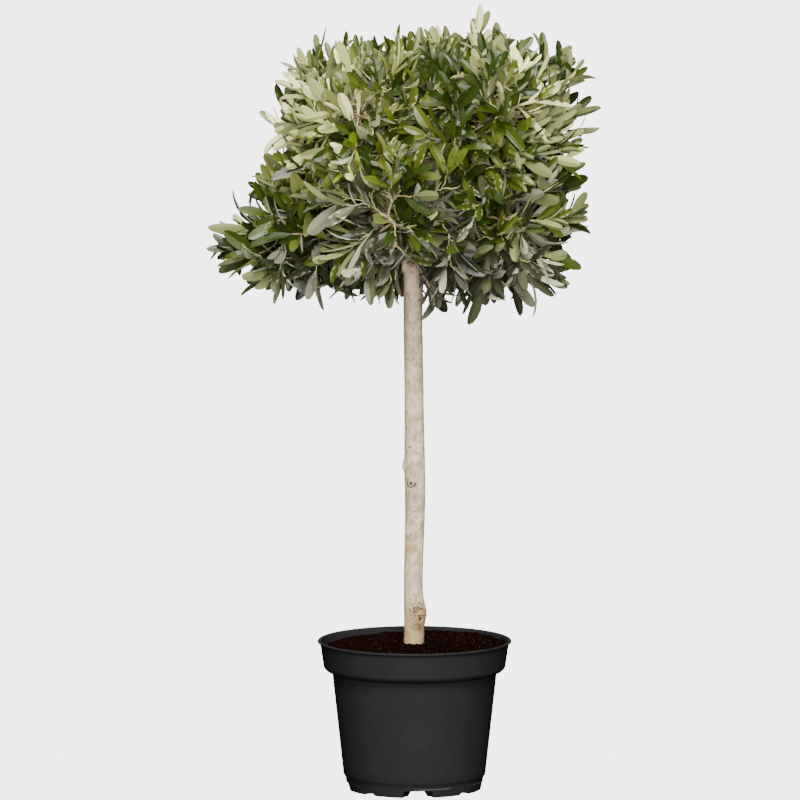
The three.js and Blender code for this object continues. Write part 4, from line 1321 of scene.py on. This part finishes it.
# The studio: a plain pale floor under soft light from a wide lamp high in front, a tall one beside
# the camera that puts the broad sheen on the pot, one over the plant, and a dim sky. Only the
# camera sees the floor's glow, so that the floor shows nearly white and lights nothing by it.
FLOOR_RADIUS = 40.0
FLOOR_SHADE = 0.03
FLOOR_GLOW = 4.5
SKY = 0.035
VIEW_FROM = (-0.018, -12, 1.978)
VIEW_TO = (-0.018, 0, 0.484)
LENS = 441  # millimetres, on a sensor 36 wide
bpy.ops.mesh.primitive_circle_add(vertices=96, radius=FLOOR_RADIUS, fill_type="TRIFAN")
floor = bpy.context.object
floor.name = "studio_floor"
pale_floor, tree, shader, place = new_finish("studio floor", roughness=0.9, specular=0.0)
shader.inputs["Base Color"].default_value = (FLOOR_SHADE, FLOOR_SHADE, FLOOR_SHADE, 1.0)
glow = put(tree, "ShaderNodeEmission", {"Color": (1.0, 1.0, 1.0, 1.0), "Strength": FLOOR_GLOW})
seen = put(tree, "ShaderNodeLightPath").outputs["Is Camera Ray"]
lit = put(tree, "ShaderNodeAddShader", {0: glow.outputs[0], 1: shader.outputs[0]})
mixed = put(tree, "ShaderNodeMixShader", {0: seen, 1: shader.outputs[0], 2: lit.outputs[0]})
tree.links.new(mixed.outputs[0], tree.nodes["Material Output"].inputs["Surface"])
floor.data.materials.append(pale_floor)

world = bpy.data.worlds.new("studio sky")
bpy.context.scene.world = world
world.use_nodes = True
sky = world.node_tree.nodes["Background"]
sky.inputs["Color"].default_value = (1.0, 1.0, 1.0, 1.0)
sky.inputs["Strength"].default_value = SKY


def studio_lamp(name, spot, aim, size, power):
    """A soft rectangular lamp at a spot, turned to face another."""
    lamp = bpy.data.lights.new(name, "AREA")
    lamp.shape = "RECTANGLE"
    lamp.size, lamp.size_y = size
    lamp.energy = power
    made = bpy.data.objects.new(name, lamp)
    made.location = spot
    made.rotation_euler = (Vector(aim) - Vector(spot)).to_track_quat("-Z", "Y").to_euler()
    bpy.context.scene.collection.objects.link(made)


studio_lamp("key", (0.1, -2.6, 3.0), (0, 0, 0.6), (1.5, 1.5), 250)
studio_lamp("front", (0.05, -3.8, 1.1), (0, 0, 0.4), (0.9, 1.8), 165)
studio_lamp("top", (-0.25, 0.7, 3.5), (0, 0, 0.7), (1.8, 1.8), 210)

camera = bpy.data.objects.new("camera", bpy.data.cameras.new("camera"))
camera.data.sensor_width = 36
camera.data.lens = LENS
camera.location = VIEW_FROM
camera.rotation_euler = (Vector(VIEW_TO) - camera.location).to_track_quat("-Z", "Y").to_euler()
bpy.context.scene.collection.objects.link(camera)
bpy.context.scene.camera = camera
